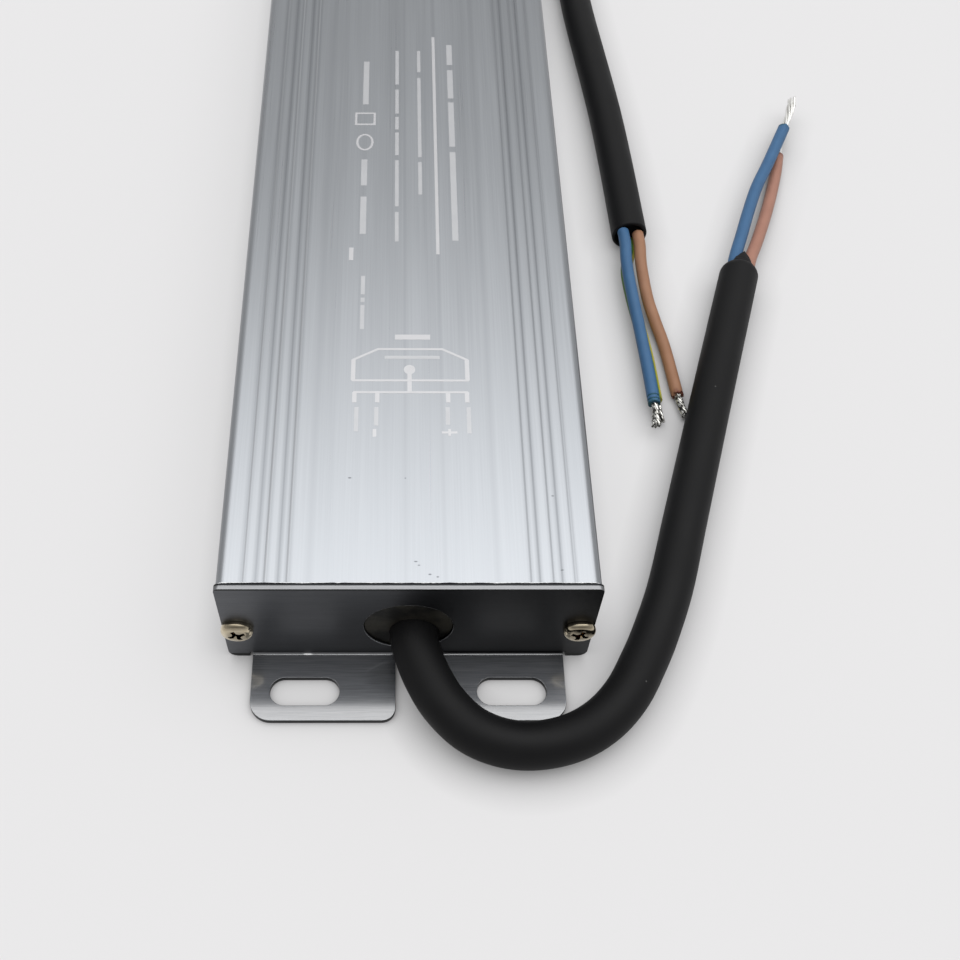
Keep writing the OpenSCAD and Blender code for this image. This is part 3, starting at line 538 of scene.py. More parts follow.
# The housing's cut faces, and which way each looks
cut_faces = {"output": (housing_low[1], -1), "input": (housing_high[1], 1)}
swells = {"output": burr_swell(3), "input": burr_swell(4)}
burrs = [edge_rod(end + "_sawn_edge", *face, BURR_UP * swells[end], BURR_OUT * swells[end], "drawn_aluminium")
         for end, face in cut_faces.items()]
beads = [edge_rod(end + "_gasket_bead", *face, BEAD_UP, GASKET_T / 2, "black_rubber")
         for end, face in cut_faces.items()]

# The lip that the punch raises round the cable's hole in each plate

GLAND_R = 8.2 * MM
GLAND_Z = 12 * MM
LIP_R = 0.2 * MM
# How thick the lip is at the hole's sides, how fast it grows towards the foot, and the least
LIP_SIDE, LIP_GROWS, LIP_LEAST = 0.15, 1.5, 0.03


def punched_lip(name, end_y, seed):
    """A thin ring about the hole, half sunk in the plate's face: rings of a circle whose radius is LIP_R at
    the foot of the hole and nearly nothing at the top, with two waves of swell round it."""
    turn = turns(240)
    low = np.clip(LIP_SIDE - LIP_GROWS * np.sin(turn), LIP_LEAST, 1)
    thick = LIP_R * low * (0.8 + 0.15 * np.sin(5 * turn + seed) + 0.1 * np.sin(13 * turn))
    angle = turns(10)
    reach = GLAND_R + thick[:, None] * np.cos(angle)
    points = np.stack([
        reach * np.cos(turn)[:, None],
        end_y + thick[:, None] * np.sin(angle),
        GLAND_Z + reach * np.sin(turn)[:, None],
    ], -1)
    return fixed_piece(name, np.concatenate([points, points[:1]]), "brushed_sheet")


lips = [punched_lip("output_hole_lip", -face_y, 7), punched_lip("input_hole_lip", face_y, 8)]

# Pale markings on the top: a plain wiring diagram, and plain bars in rows

INK_LIFT = 0.015 * MM
FINE, THICK, PLAIN_BAR, BROAD = 0.5, 0.85, 0.8, 1.3


def ribbon(name, path, width, closed=False, lift=INK_LIFT):
    """A flat strip of ink along a path on the top: at each point half the width to each side, along the
    line that halves the corner there."""
    path = MM * np.asarray(path, float)
    before = np.roll(path, 1, 0) if closed else np.vstack([2 * path[0] - path[1], path[:-1]])
    after = np.roll(path, -1, 0) if closed else np.vstack([path[1:], 2 * path[-1] - path[-2]])
    into, out_of = unit(path - before), unit(after - path)
    side = unit(np.stack([-(into + out_of)[:, 1], (into + out_of)[:, 0]], 1))
    square = np.stack([-into[:, 1], into[:, 0]], 1)
    half = width * MM / 2 / np.sum(side * square, 1, keepdims=True)
    left, right = path + half * side, path - half * side
    low, high = np.full((len(path), 1), top_z - lift), np.full((len(path), 1), top_z + lift)
    rows = np.stack([np.hstack([left, low]), np.hstack([left, high]), np.hstack([right, high]),
                     np.hstack([right, low])], 1)
    if closed:
        rows = np.concatenate([rows, rows[:1]])
    else:
        rows = np.concatenate([np.repeat(rows[:1].mean(1, keepdims=True), 4, 1), rows,
                               np.repeat(rows[-1:].mean(1, keepdims=True), 4, 1)])
    piece = seal(grid_piece(name, rows))
    piece.data.set_sharp_from_angle(angle=math.radians(30))
    return piece


def oval(x, y, half_x, half_y):
    angle = turns(40)
    return np.stack([x + half_x * np.cos(angle), y + half_y * np.sin(angle)], 1)


DIAGRAM_X, DIAGRAM_HALF, DIAGRAM_TOP_HALF = 0.4, 11.1, 6.3
DIAGRAM_TOP, DIAGRAM_SHOULDER, DIAGRAM_FOOT = -56.8, -59.5, -64.7
BUS_Y, DROP_FOOT, STEM_X = -67.6, -70.1, 0.26
drop_x = (-10.35, -5.95, 7.65, 11.3)
# Each row of bars: its place across the top, the width of its bars, and where each bar starts and ends
bar_rows = [
    (-9.5, BROAD, [(32, 16.6), (-2, -10.3), (-13.8, -25.1)]),
    (-2.3, PLAIN_BAR, [(36.1, 23.7), (21.9, 13.4), (12.3, 8), (7, -0.6), (-2.2, -16.8), (-18.5, -27.3)]),
    (2.8, PLAIN_BAR, [(36.1, 28.2), (26.1, -1.2), (-2.8, -13.1)]),
    (10.1, BROAD, [(38.4, 30.9), (29, 18.8), (17.4, 2.3), (0.5, -27)]),
    (-9.2, PLAIN_BAR, [(-37.2, -42.3), (-43.2, -44.4), (-45.2, -51.6)]),
    (-9.9, PLAIN_BAR, [(-71.2, -77)]),
    (-6.1, PLAIN_BAR, [(-71.2, -75.6)]),
    (7.5, PLAIN_BAR, [(-71.2, -75.4)]),
    (11.5, PLAIN_BAR, [(-71.2, -77.4)]),
]
# What crosses another line of ink lies a little above it
OVER = 1.4 * INK_LIFT
faint = [ribbon("bar", [(x, start), (x, stop)], width)
         for x, width, spans in bar_rows for start, stop in spans]
faint.append(ribbon("bar", [(-4.6, -58.9), (6.2, -58.9)], PLAIN_BAR))
ink = [ribbon("bar", [(6.33, 41.4), (6.33, -31)], 0.7), ribbon("bar", [(-11.8, -29.1), (-11.8, -32.7)], 0.9),
       ribbon("bar", [(-2.6, -53.7), (4.4, -53.7)], BROAD)]
near_x, far_x = DIAGRAM_X - DIAGRAM_HALF, DIAGRAM_X + DIAGRAM_HALF
diagram = [(DIAGRAM_X - DIAGRAM_TOP_HALF, DIAGRAM_TOP), (DIAGRAM_X + DIAGRAM_TOP_HALF, DIAGRAM_TOP),
           (far_x, DIAGRAM_SHOULDER), (far_x, DIAGRAM_FOOT),
           (near_x, DIAGRAM_FOOT), (near_x, DIAGRAM_SHOULDER)]
bus = [(drop_x[0], DROP_FOOT), (drop_x[0], BUS_Y), (drop_x[-1], BUS_Y), (drop_x[-1], DROP_FOOT)]
ink.append(ribbon("frame", diagram, FINE, closed=True))
ink.extend(ribbon("side", [(x, DIAGRAM_SHOULDER), (x, DIAGRAM_FOOT)], THICK, lift=OVER)
           for x in (near_x, far_x))
ink.append(ribbon("dot", oval(STEM_X, -62, 0.56, 0.6), 1.1, closed=True))
ink.append(ribbon("stem", [(STEM_X, -62.4), (STEM_X, BUS_Y)], THICK, lift=OVER))
ink.append(ribbon("bus", bus, FINE))
ink.extend(ribbon("drop", [(x, BUS_Y), (x, DROP_FOOT)], THICK, lift=OVER) for x in drop_x)
ink.append(ribbon("outline", [(-11.6, 13.5), (-7.4, 13.5), (-7.4, 9.7), (-11.6, 9.7)], FINE, closed=True))
ink.append(ribbon("ring", oval(-9.5, 3.7, 1.7, 2.5), FINE, closed=True))
ink.append(ribbon("minus", [(-6.4, -76.4), (-6.4, -78.2)], 0.7))
ink.append(ribbon("plus", [(6.3, -77.2), (9.2, -77.2)], FINE))
ink.append(ribbon("plus", [(7.75, -76.4), (7.75, -78)], FINE, lift=OVER))
markings = [join("pale_markings", ink), join("faint_markings", faint)]
for piece in markings:
    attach(piece, "root")
    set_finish(piece, "drawn_aluminium")

# Materials


def linear(hex_colour):
    """An sRGB colour such as "#8f9297" as the linear RGBA that shaders take."""
    parts = np.array([int(hex_colour[i:i + 2], 16) / 255 for i in (1, 3, 5)])
    flat = np.where(parts <= 0.04045, parts / 12.92, ((parts + 0.055) / 1.055) ** 2.4)
    return (*flat.tolist(), 1.0)


def add(tree, kind, sockets=None, **settings):
    """One node: settings are its own, and sockets gives an input by name or place a value or an output."""
    node = tree.nodes.new("ShaderNode" + kind)
    for key, value in settings.items():
        setattr(node, key, value)
    for key, value in (sockets or {}).items():
        if isinstance(value, bpy.types.NodeSocket):
            tree.links.new(value, node.inputs[key])
        else:
            node.inputs[key].default_value = value
    return node


def ramp(tree, value, low, high, start=0.0, stop=1.0, shape="LINEAR"):
    """Goes from start to stop while value goes from low to high, and stays level on both sides."""
    return add(tree, "MapRange", {0: value, 1: low, 2: high, 3: start, 4: stop},
               interpolation_type=shape).outputs[0]


def combine(tree, operation, one, other=0.0, clamp=False):
    """One step of arithmetic on values."""
    return add(tree, "Math", {0: one, 1: other}, operation=operation, use_clamp=clamp).outputs[0]


def vectors(tree, operation, one, other=(0, 0, 0), output=0):
    """One step of arithmetic on vectors."""
    return add(tree, "VectorMath", {0: one, 1: other}, operation=operation).outputs[output]


def parts_of(tree, vector):
    """A vector's three parts."""
    return add(tree, "SeparateXYZ", {0: vector}).outputs


def blend(tree, amount, under, over):
    """A colour laid over another by amount. Each is an output or written in sRGB."""
    under, over = [linear(colour) if isinstance(colour, str) else colour for colour in (under, over)]
    return add(tree, "Mix", {0: amount, 6: under, 7: over}, data_type="RGBA").outputs[2]


def noise(tree, place, size, detail=2.0, stretch=None):
    """Soft noise with features about size across. stretch scales the place first."""
    if stretch:
        place = add(tree, "Mapping", {"Vector": place, "Scale": stretch}).outputs[0]
    return add(tree, "TexNoise", {"Vector": place, "Scale": 1 / size, "Detail": detail}).outputs[0]


def bumped(tree, height, distance, strength):
    """The surface's normal with a height pattern laid over it."""
    return add(tree, "Bump", {"Height": height, "Distance": distance, "Strength": strength}).outputs[0]


def new_finish(name):
    """An empty material, its tree, and the place on the piece."""
    material = bpy.data.materials.new(name)
    material.use_nodes = True
    tree = material.node_tree
    tree.nodes.clear()
    return material, tree, add(tree, "TexCoord").outputs["Object"]


def surface(material, sockets):
    """Ends a finish with one shader."""
    shader = add(material.node_tree, "BsdfPrincipled", sockets)
    add(material.node_tree, "OutputMaterial", {0: shader.outputs[0]})
    return material


def plain_finish(name, colour, dark, grain_mm, roughness, metallic=0.0, bump_mm=0.02, specular=0.5,
                 patchy=(0.0, 1.0)):
    """A moulded, dipped, cast or plated finish: its colour drifts between two shades on a fine grain, and the
    same grain lifts the surface a little. A narrow span in patchy turns the drift into patches."""
    material, tree, place = new_finish(name)
    grain = noise(tree, place, grain_mm * MM, 3.0)
    drift = noise(tree, place, 12 * grain_mm * MM)
    return surface(material, {
        "Base Color": blend(tree, ramp(tree, drift, *patchy), dark, colour),
        "Roughness": ramp(tree, grain, 0.3, 0.7, roughness - 0.06, roughness + 0.06),
        "Metallic": metallic,
        "Normal": bumped(tree, grain, bump_mm * MM, 0.5),
        "Specular IOR Level": specular,
    })


# Small marks in the top near its output end: place across and along, and half sizes
PITS = [(-10.8, -87.55, 0.4, 0.2), (-0.6, -87.6, 0.2, 0.15), (1.2, -105.3, 0.4, 0.18),
        (1.75, -106.05, 0.3, 0.15), (3.65, -107.9, 0.35, 0.2), (5, -108.4, 0.3, 0.18),
        (26.8, -107, 0.35, 0.2), (26.2, -91.4, 0.35, 0.18)]
# Bands along the top: place across, half width, and strength. The die leaves soft darker ones; painted shade
# lies along the grooves' walls, and painted highlights lie in some of the grooves' corners
DIE_BANDS = [(-0.6, 0.5, 1), (6.4, 0.6, 1), (-17.5, 1.2, 1), (15.5, 0.9, 1)]
GROOVE_SHADE_BANDS = [(-29, 0.9, 0.7), (-26.7, 0.8, 0.8), (-25.1, 0.9, 0.7), (-22.8, 0.8, 0.8), (-21.2, 0.9, 0.7),
                (21.3, 0.8, 0.4), (22.8, 0.8, 0.7), (25.2, 0.8, 0.4), (26.7, 0.8, 0.7), (29.1, 0.8, 0.4)]
GROOVE_HIGHLIGHT_BANDS = [(-28.85, 0.3, 0.35), (-25.1, 0.3, 0.55), (-21.2, 0.3, 0.55)]
# Half sizes that reach past the top's ends and through its grooves
BAND_ALONG, BAND_DEEP = 1000, 5
# Painted shade on the long edges' rounding: it darkens over this width, and down to this depth
EDGE_SHADE, EDGE_DEPTH = 1.2 * MM, 2.2 * MM
# The middle part of a noise's values, where nearly all of them lie
MOST_NOISE = (0.35, 0.65)


def oval_spot(tree, place, middle, half, inner=0.5):
    """1 in the middle of a small round or oval place, 0 outside it. middle and half are in millimetres."""
    moved = vectors(tree, "SUBTRACT", place, [value * MM for value in middle])
    scaled = vectors(tree, "MULTIPLY", moved, [1 / (value * MM) for value in half])
    return ramp(tree, vectors(tree, "LENGTH", scaled, output="Value"), inner, 1.0, 1.0, 0.0)


def most(tree, values):
    """The largest of several values."""
    whole = values[0]
    for value in values[1:]:
        whole = combine(tree, "MAXIMUM", whole, value)
    return whole


def long_bands(tree, place, rows):
    """How strongly bands along the top show: the strongest of them, each fading out from its middle."""
    shown = [(oval_spot(tree, place, (x, 0, top_z / MM), (half, BAND_ALONG, BAND_DEEP), 0.0), strength)
             for x, half, strength in rows]
    return most(tree, [combine(tree, "MULTIPLY", spot, strength) for spot, strength in shown])


def drawn_aluminium():
    """Aluminium drawn through a die and anodised clear: fine streaks and soft bands along its length, painted
    shade along the grooves' walls and on the long edges' rounding, painted highlights at some groove edges,
    small dark marks, satin."""
    material, tree, place = new_finish("drawn_aluminium")
    pits = most(tree, [oval_spot(tree, place, (x, y, top_z / MM), (half_x, half_y, 0.5))
                       for x, y, half_x, half_y in PITS])
    # The second set of bands is painted shade along the grooves' walls, the third painted highlight at groove
    # edges
    die, groove_shade, bright = [long_bands(tree, place, rows) for rows in (DIE_BANDS, GROOVE_SHADE_BANDS, GROOVE_HIGHLIGHT_BANDS)]
    parts = parts_of(tree, place)
    aside = combine(tree, "ABSOLUTE", parts[0])
    # Painted shade on the rounded long edges, near the top
    outer = ramp(tree, aside, housing_high[0] - EDGE_SHADE, housing_high[0], 0.0, 0.5)
    upper = ramp(tree, parts[2], top_z - EDGE_DEPTH, top_z - EDGE_DEPTH + 0.5 * MM)
    edge = combine(tree, "MULTIPLY", outer, upper)
    fine = noise(tree, place, 0.28 * MM, 3.0, (1, 0.008, 1))
    broad = noise(tree, place, 3.0 * MM, 2.0, (1, 0.02, 1))
    streaks = add(tree, "Mix", {0: 0.45, 2: fine, 3: broad}, data_type="FLOAT").outputs[0]
    colour = blend(tree, ramp(tree, streaks, *MOST_NOISE), "#9b9ea2", "#a2a5a9")
    # Painted shade on the grooves' walls and the long edges, and painted highlights at some groove edges
    for amount, tone in ((die, "#999ca0"), (groove_shade, "#7d8084"), (bright, "#c9ccd0"), (edge, "#505256"),
                         (pits, "#6a6c70")):
        colour = blend(tree, amount, colour, tone)
    return surface(material, {
        "Base Color": colour, "Roughness": ramp(tree, streaks, 0.3, 0.7, 0.27, 0.32), "Metallic": 1.0,
        "Normal": bumped(tree, fine, 0.003 * MM, 0.3),
    })


SHEET_T = 1.2 * MM
# Below this height an upright face of the sheet is the sawn side of a tab, painted near black as shade
TAB_SIDE = 1.15 * MM
# Painted shade: an upright face is darker towards its right, from the first place across to the second
SHADE_FROM, SHADE_TO = -34 * MM, 20 * MM
# The sheet's upper edge lies above these heights, where it has less of the tabs' gloss
EDGE_FROM, EDGE_FULL = 20 * MM, 22 * MM
# A painted glint on the fold of a tab: its middle and half sizes, in millimetres
FOLD_GLINT = (-19, -111.3, 1.35), (1.2, 0.22, 0.22)
# Painted shade in dark lines along the plate's upper edge: how far each reaches, from the joint and down the
# front
JOINT_SHADE = 0.42 * MM
RIM_SHADE = 0.5 * MM


def brushed_sheet():
    """Aluminium sheet brushed across and anodised grey: short fine lines, glossier than the housing where it
    lies flat.
    Painted shade darkens its upright faces, more towards the right, and near black on the tabs' cut sides,
    under its upper edge and in the joint; a painted glint lies on one fold."""
    material, tree, place = new_finish("brushed_sheet")
    fine = noise(tree, place, 0.16 * MM, 3.0, (0.03, 1, 1))
    broad = noise(tree, place, 1.4 * MM, 2.0, (0.03, 1, 1))
    lines_mix = add(tree, "Mix", {0: 0.35, 2: fine, 3: broad}, data_type="FLOAT").outputs[0]
    colour = blend(tree, ramp(tree, lines_mix, *MOST_NOISE), "#515357", "#67696d")
    across, along, height = parts_of(tree, place)
    level = ramp(tree, parts_of(tree, add(tree, "NewGeometry").outputs["Normal"])[2], 0.3, 0.9)
    # Painted shade in a band under the plate's upper edge, on its front
    rim = ramp(tree, height, plate_top - RIM_SHADE - 0.05 * MM, plate_top - RIM_SHADE, 0.0, 0.8)
    # Painted shade: upright faces darker than level ones, more so towards the right
    darker = combine(tree, "MAXIMUM", ramp(tree, across, SHADE_FROM, SHADE_TO, 0.1, 0.8), rim)
    upright = blend(tree, darker, blend(tree, 0.6, colour, "#5c5e62"), "#000000")
    # Painted shade, near black, on the tabs' cut sides
    tab_side_shade = ramp(tree, height, TAB_SIDE, TAB_SIDE + 0.1 * MM, 1.0, 0.0)
    shaded = blend(tree, level, blend(tree, tab_side_shade, upright, "#17181a"), colour)
    # Painted glint on a tab's fold
    glinted = blend(tree, oval_spot(tree, place, *FOLD_GLINT), shaded, "#f0f1f3")
    # Painted shade in the joint behind the plate's upper edge
    behind = face_y - SHEET_T + JOINT_SHADE
    joint = ramp(tree, combine(tree, "ABSOLUTE", along), behind - 0.03 * MM, behind + 0.03 * MM, 1.0, 0.0)
    above = ramp(tree, height, EDGE_FROM, EDGE_FULL)
    joint_shade = combine(tree, "MULTIPLY", joint, above)
    gloss = combine(tree, "SUBTRACT", ramp(tree, above, 0.0, 1.0, 1.0, 0.72), joint_shade, clamp=True)
    return surface(material, {
        "Base Color": blend(tree, joint_shade, glinted, "#2c2d2f"),
        "Roughness": ramp(tree, level, 0.0, 1.0, 0.36, 0.48), "Metallic": 1.0,
        "Normal": bumped(tree, fine, 0.004 * MM, ramp(tree, level, 0.0, 1.0, 0.1, 0.4)),
        "Coat Weight": combine(tree, "MULTIPLY", level, gloss), "Coat Roughness": 0.13, "Coat IOR": 2.4,
    })


# A screw's head and the recess in it
HEAD_R = 3 * MM
screws_low, screws_high = [np.array(corner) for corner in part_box("output_end_screws")]
screw_place = (screws_high[0] - HEAD_R, 0, (screws_low[2] + screws_high[2]) / 2)
head_face = -screws_low[1]
RECESS_R = 1.9 * MM
RECESS_FROM = 0.25 * MM
# Painted shade and reflection on a head: from this height above its middle to that, and this far to both
# sides of its recess
HEAD_SHADE_FROM, HEAD_SHADE_FULL = 1.3 * MM, 2.3 * MM
RECESS_SHADE_RING = 0.45 * MM


def nickel_steel():
    """Steel screws plated with warm nickel, bright, with painted shade and reflection above and round the
    cross recess, painted shade down in the recess and a painted warm reflection there."""
    material, tree, place = new_finish("nickel_steel")
    plating = blend(tree, noise(tree, place, 1.5 * MM), "#b8ab90", "#efe4cc")
    moved = vectors(tree, "SUBTRACT", vectors(tree, "ABSOLUTE", place), screw_place)
    flat = vectors(tree, "MULTIPLY", moved, (1, 0, 1))
    out_from = vectors(tree, "LENGTH", flat, output="Value")
    parts = parts_of(tree, moved)
    within = ramp(tree, out_from, RECESS_R, RECESS_R + 0.1 * MM, 1.0, 0.0)
    deep = ramp(tree, parts[1], head_face - 2 * RECESS_FROM, head_face - RECESS_FROM, 1.0, 0.0)
    recess_reflection = ramp(tree, noise(tree, place, 0.7 * MM), 0.52, 0.62)
    # Painted shade and reflection: darker above the head's middle and in a ring round its recess
    ring = ramp(tree, out_from, RECESS_R - RECESS_SHADE_RING, RECESS_R + RECESS_SHADE_RING, 0.5, 0.0)
    upper_shade = ramp(tree, parts[2], HEAD_SHADE_FROM, HEAD_SHADE_FULL, 0.0, 0.6)
    shaded_plating = blend(tree, combine(tree, "MAXIMUM", ring, upper_shade), plating, "#4d4334")
    # Painted shade down in the recess, with patches of a painted orange reflection
    inside = combine(tree, "MULTIPLY", within, deep)
    colour = blend(tree, inside, shaded_plating, blend(tree, recess_reflection, "#1a1510", "#c08a35"))
    return surface(material, {"Base Color": colour, "Roughness": 0.13, "Metallic": 1.0})


def cable_rubber():
    """Black rubber sheath, extruded smooth: a faint haze, and a speck of dust here and there."""
    material, tree, place = new_finish("cable_rubber")
    haze = noise(tree, place, 9 * MM)
    specks = add(tree, "TexVoronoi", {"Vector": place, "Scale": 1 / (5.5 * MM)}).outputs["Distance"]
    dust = ramp(tree, specks, 0.018, 0.035, 0.35, 0.0)
    return surface(material, {
        "Base Color": blend(tree, dust, blend(tree, haze, "#0e0e0f", "#161617"), "#8a8a88"),
        "Roughness": ramp(tree, haze, 0.3, 0.7, 0.5, 0.6),
        "Normal": bumped(tree, noise(tree, place, 0.25 * MM), 0.01 * MM, 0.4),
        "Specular IOR Level": 0.15,
    })


def insulation(name, colour, dark, dark_end_and_nick_shade, stripe=None):
    """Smooth coloured insulation: its shade drifts a little, painted shade darkens it in the nicks, and it is
    darker in patches in the last millimetre before its cut end. With stripe, a band of that colour runs along
    one side of it."""
    material, tree, place = new_finish(name)
    blot = noise(tree, place, 0.9 * MM)
    body = blend(tree, noise(tree, place, 4 * MM), dark, colour)
    if stripe:
        turn = parts_of(tree, add(tree, "UVMap", uv_map="along").outputs[0])[0]
        from_side = combine(tree, "PINGPONG", turn, 0.5)
        body = blend(tree, ramp(tree, from_side, 0.33, 0.36), body, stripe)
    left, cut = [add(tree, "Attribute", attribute_name=label).outputs["Fac"] for label in ("to_end", "nick")]
    near = ramp(tree, left, 0.2 * MM, 1.3 * MM, 1.0, 0.0)
    # Painted shade in the nicks; darker patches in the last millimetre before the cut end
    at_end = combine(tree, "MULTIPLY", near, ramp(tree, blot, 0.4, 0.6, 0.15, 0.9))
    return surface(material, {
        "Base Color": blend(tree, combine(tree, "MAXIMUM", at_end, cut), body, dark_end_and_nick_shade), "Roughness": 0.48,
        "Normal": bumped(tree, blot, 0.02 * MM, 0.4), "Specular IOR Level": 0.25,
    })


# The frame's own materials say which slot a piece has, and make way for the finishes
slot_of = {name: node.data.materials[0].name for name, node in nodes.items()}
for node in nodes.values():
    node.data.materials.clear()
for material in list(bpy.data.materials):
    bpy.data.materials.remove(material)

# What plain_finish takes after the name
plain_rows = {
    "black_rubber": ("#302e28", "#0f0f0d", 0.4, 0.5, 0.0, 0.02, 0.2, (0.4, 0.62)),
    "grey_compound": ("#5c5c5e", "#4c4c4e", 0.8, 0.6),
    "board_laminate": ("#1f6b45", "#17553a", 0.5, 0.35),
    "fuse_ceramic": ("#e4e0d2", "#d6d0be", 0.4, 0.3),
    "brass_spring": ("#cdb06a", "#b8995a", 0.3, 0.3, 1.0),
    "blue_lacquer": ("#2f63b0", "#264f94", 0.6, 0.3),
    "green_lacquer": ("#4d6330", "#3d5026", 0.6, 0.35),
    "yellow_box": ("#e0be3c", "#cda92e", 0.4, 0.4),
    "dark_ferrite": ("#3b3b3e", "#2c2c2f", 0.3, 0.7),
    "enamelled_copper": ("#a45328", "#82401e", 0.5, 0.25, 1.0),
    "black_moulding": ("#232325", "#1b1b1d", 0.2, 0.6),
    "blue_sleeve": ("#20305e", "#182650", 0.5, 0.3),
    "tan_moulding": ("#a98b5c", "#94774c", 0.4, 0.55),
    "yellow_tape": ("#e2a92a", "#cf9720", 0.5, 0.25),
    "tin_plate": ("#c9c9cb", "#b4b4b6", 0.4, 0.35, 1.0),
    "grey_pad": ("#a2a2a4", "#929294", 0.4, 0.7),
    "white_moulding": ("#dfdfda", "#d0d0ca", 0.3, 0.55),
    "olive_core": ("#7c7a2c", "#686622", 0.4, 0.4),
    "green_sleeve": ("#27492f", "#1f3c27", 0.5, 0.3),
    "tinned_copper": ("#f2f1ee", "#dcdbd7", 0.3, 0.42, 1.0),
    # Not slots of their own: the saw's burr, bright bare metal and painted near white as a highlight, the
    # print, part metal and part matt and fainter where it is small, the sheet's edges, which the press leaves
    # bright, the input cable's strands, with dark stains in patches from handling, and the gasket's squeezed
    # edge, painted darker as shade in the joint
    "sawn_aluminium": ("#f4f5f6", "#d6d8da", 0.05, 0.4, 0.2),
    "pale_print": ("#bfbfc1", "#b9b9bb", 0.3, 0.4, 0.62, 0.004),
    "faint_print": ("#b8b9bb", "#aeafb2", 0.3, 0.4, 0.6, 0.004),
    "bare_edge": ("#bcbec1", "#a4a6a9", 0.5, 0.3, 1.0),
    "stained_tin": ("#e0dfda", "#4a4845", 0.06, 0.3, 1.0, 0.02, 0.5, (0.4, 0.56)),
    # The gasket's edge is painted darker than black rubber, as shade in the joint
    "joint_rubber": ("#0d0d0d", "#070707", 0.3, 0.7, 0.0, 0.02, 0.1),
}
# The same for insulation. The input cable's brown core is tanner than the other
insulation_rows = {
    "blue_insulation": ("#42698f", "#395d82", "#1d4a4c"),
    "brown_insulation": ("#a87c6b", "#966c5d", "#5c2a24"),
    "tan_insulation": ("#a2795f", "#8d664d", "#5c2a24"),
    # The earth core's green is painted darker than its own colour, as painted shade
    "earth_insulation": ("#4f7a3c", "#44692f", "#6f7a2c", "#b8b040"),
}
finishes = {"drawn_aluminium": drawn_aluminium(), "brushed_sheet": brushed_sheet(),
            "cable_rubber": cable_rubber(), "nickel_steel": nickel_steel()}
finishes.update({name: plain_finish(name, *row) for name, row in plain_rows.items()})
finishes.update({name: insulation(name, *row) for name, row in insulation_rows.items()})


def dress(piece, finish, edges=None):
    piece.data.materials.clear()
    piece.data.materials.append(finishes[finish])
    if edges:
        piece.data.materials.append(finishes[edges])


for name, node in nodes.items():
    dress(node, slot_of[name])
for piece in [*jackets.values(), tongue, *cores.values(), *tips.values()]:
    dress(piece, piece["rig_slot"])
for slot, made in softened_pieces.items():
    for piece in made:
        dress(piece, slot, "bare_edge" if slot == "brushed_sheet" else slot)
for name, piece in tips.items():
    if name.startswith("input"):
        dress(piece, "stained_tin")
dress(cores["input_brown"], "tan_insulation")
for made, finish in ((burrs, "sawn_aluminium"), (beads, "joint_rubber"), (lips, "bare_edge")):
    for piece in made:
        dress(piece, finish)
for piece, finish in zip(markings, ("pale_print", "faint_print")):
    dress(piece, finish)

# Floor and light

FLOOR_HALF = 1.6
FLOOR_GLOW = 0.45
CONTACT_REACH = 8 * MM
SOFTBOX = unit([0.07, 0.2, 0.92])
SOFTBOX_SPREAD = 0.48
SOFTBOX_EDGE = math.cos(math.radians(36))
SOFTBOX_CORE = math.cos(math.radians(8))
SOFTBOX_LIGHT = 2.15
CEILING_LIGHT = 0.36
CEILING_EDGE = math.cos(math.radians(75))
ROOM_LIGHT = 0.27
HORIZON_LIGHT = 0.35
HORIZON_CORE = math.sin(math.radians(14))
HORIZON_EDGE = math.sin(math.radians(28))
WHITE = (1, 1, 1, 1)
PALE = "#e8e7e8"


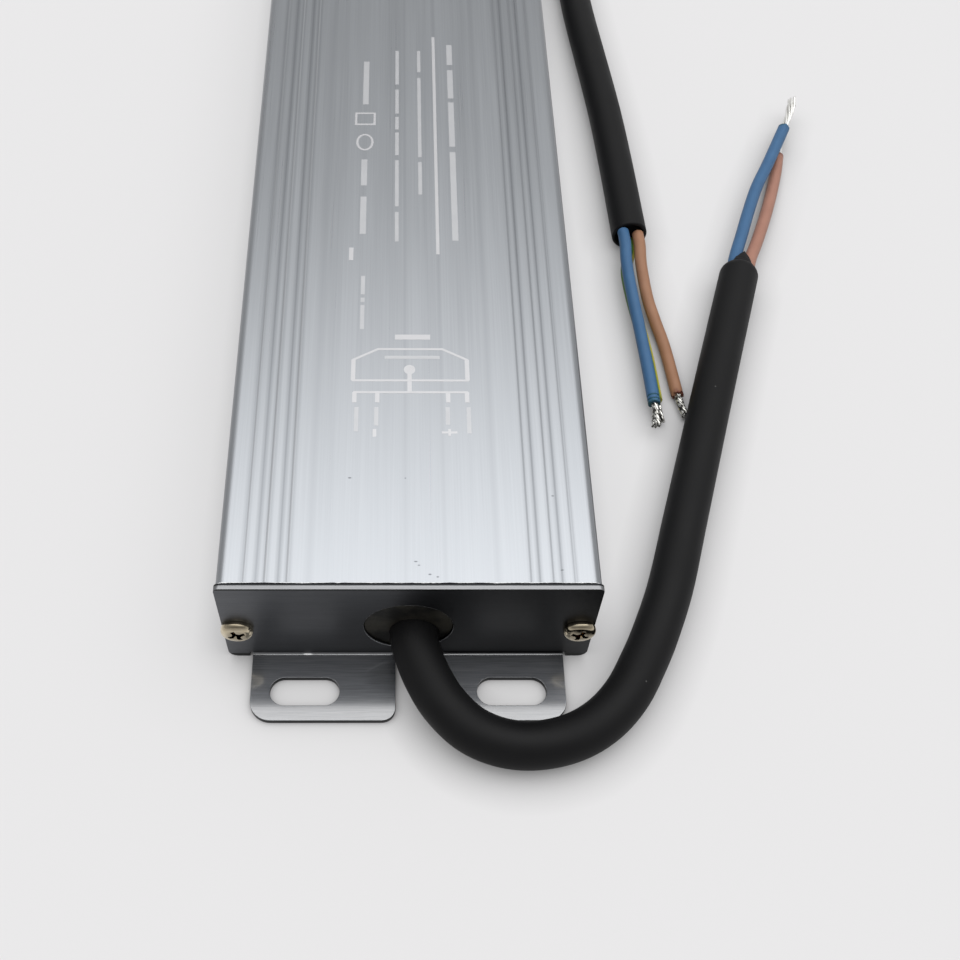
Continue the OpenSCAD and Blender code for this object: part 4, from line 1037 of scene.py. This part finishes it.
def make_floor():
    """A level sheet that the supply stands on. Seen by the camera or in a reflection it is brighter than lit
    paper; that glow is dimmed as painted contact shade where the supply closes the floor off, and the paper
    keeps the shadow."""
    side = FLOOR_HALF
    corners = np.array([[-side, -side, 0], [side, -side, 0], [side, side, 0], [-side, side, 0]])
    floor = mesh_piece("floor", corners, np.array([[0, 1, 2, 3]]))
    material, tree = new_finish("pale_paper")[:2]
    paper = add(tree, "BsdfPrincipled", {"Base Color": linear("#969596"), "Roughness": 0.9,
                                         "Specular IOR Level": 0.1})
    # Painted contact shade: the glow dims by ambient occlusion near the supply
    open_sky = add(tree, "AmbientOcclusion", {"Distance": CONTACT_REACH}).outputs["AO"]
    path = add(tree, "LightPath").outputs
    seen = combine(tree, "MAXIMUM", path["Is Camera Ray"], path["Is Glossy Ray"])
    through = combine(tree, "MAXIMUM", seen, path["Is Transmission Ray"])
    strength = combine(tree, "MULTIPLY", combine(tree, "MULTIPLY", through, FLOOR_GLOW), open_sky)
    glow = add(tree, "Emission", {"Color": WHITE, "Strength": strength})
    both = add(tree, "AddShader", {0: paper.outputs[0], 1: glow.outputs[0]})
    add(tree, "OutputMaterial", {0: both.outputs[0]})
    floor.data.materials.append(material)


def make_world():
    """A studio's soft light: a bright patch overhead, twice as broad across as it is deep, that fades out,
    and a dim room around it with paler walls. The camera itself sees the pale of the paper."""
    world = bpy.data.worlds.new("studio")
    bpy.context.scene.world = world
    world.use_nodes = True
    tree = world.node_tree
    tree.nodes.clear()
    way = add(tree, "TexCoord").outputs["Generated"]
    heading = vectors(tree, "NORMALIZE", vectors(tree, "MULTIPLY", way, (SOFTBOX_SPREAD, 1, 1)))
    facing = vectors(tree, "DOT_PRODUCT", heading, SOFTBOX, "Value")
    box = ramp(tree, facing, SOFTBOX_EDGE, SOFTBOX_CORE, 0.0, SOFTBOX_LIGHT, "SMOOTHSTEP")
    ceiling = ramp(tree, facing, CEILING_EDGE, SOFTBOX_EDGE, ROOM_LIGHT, ROOM_LIGHT + CEILING_LIGHT,
                   "SMOOTHSTEP")
    walls = ramp(tree, parts_of(tree, way)[2], HORIZON_CORE, HORIZON_EDGE, HORIZON_LIGHT, 0.0, "SMOOTHSTEP")
    strength = combine(tree, "ADD", combine(tree, "ADD", box, ceiling), walls)
    studio = add(tree, "Background", {"Color": WHITE, "Strength": strength})
    pale = add(tree, "Background", {"Color": linear(PALE), "Strength": 1.0})
    chosen = add(tree, "MixShader", {0: add(tree, "LightPath").outputs["Is Camera Ray"],
                                     1: studio.outputs[0], 2: pale.outputs[0]})
    add(tree, "OutputWorld", {0: chosen.outputs[0]})


make_floor()
make_world()
bpy.context.scene.view_settings.view_transform = "Standard"
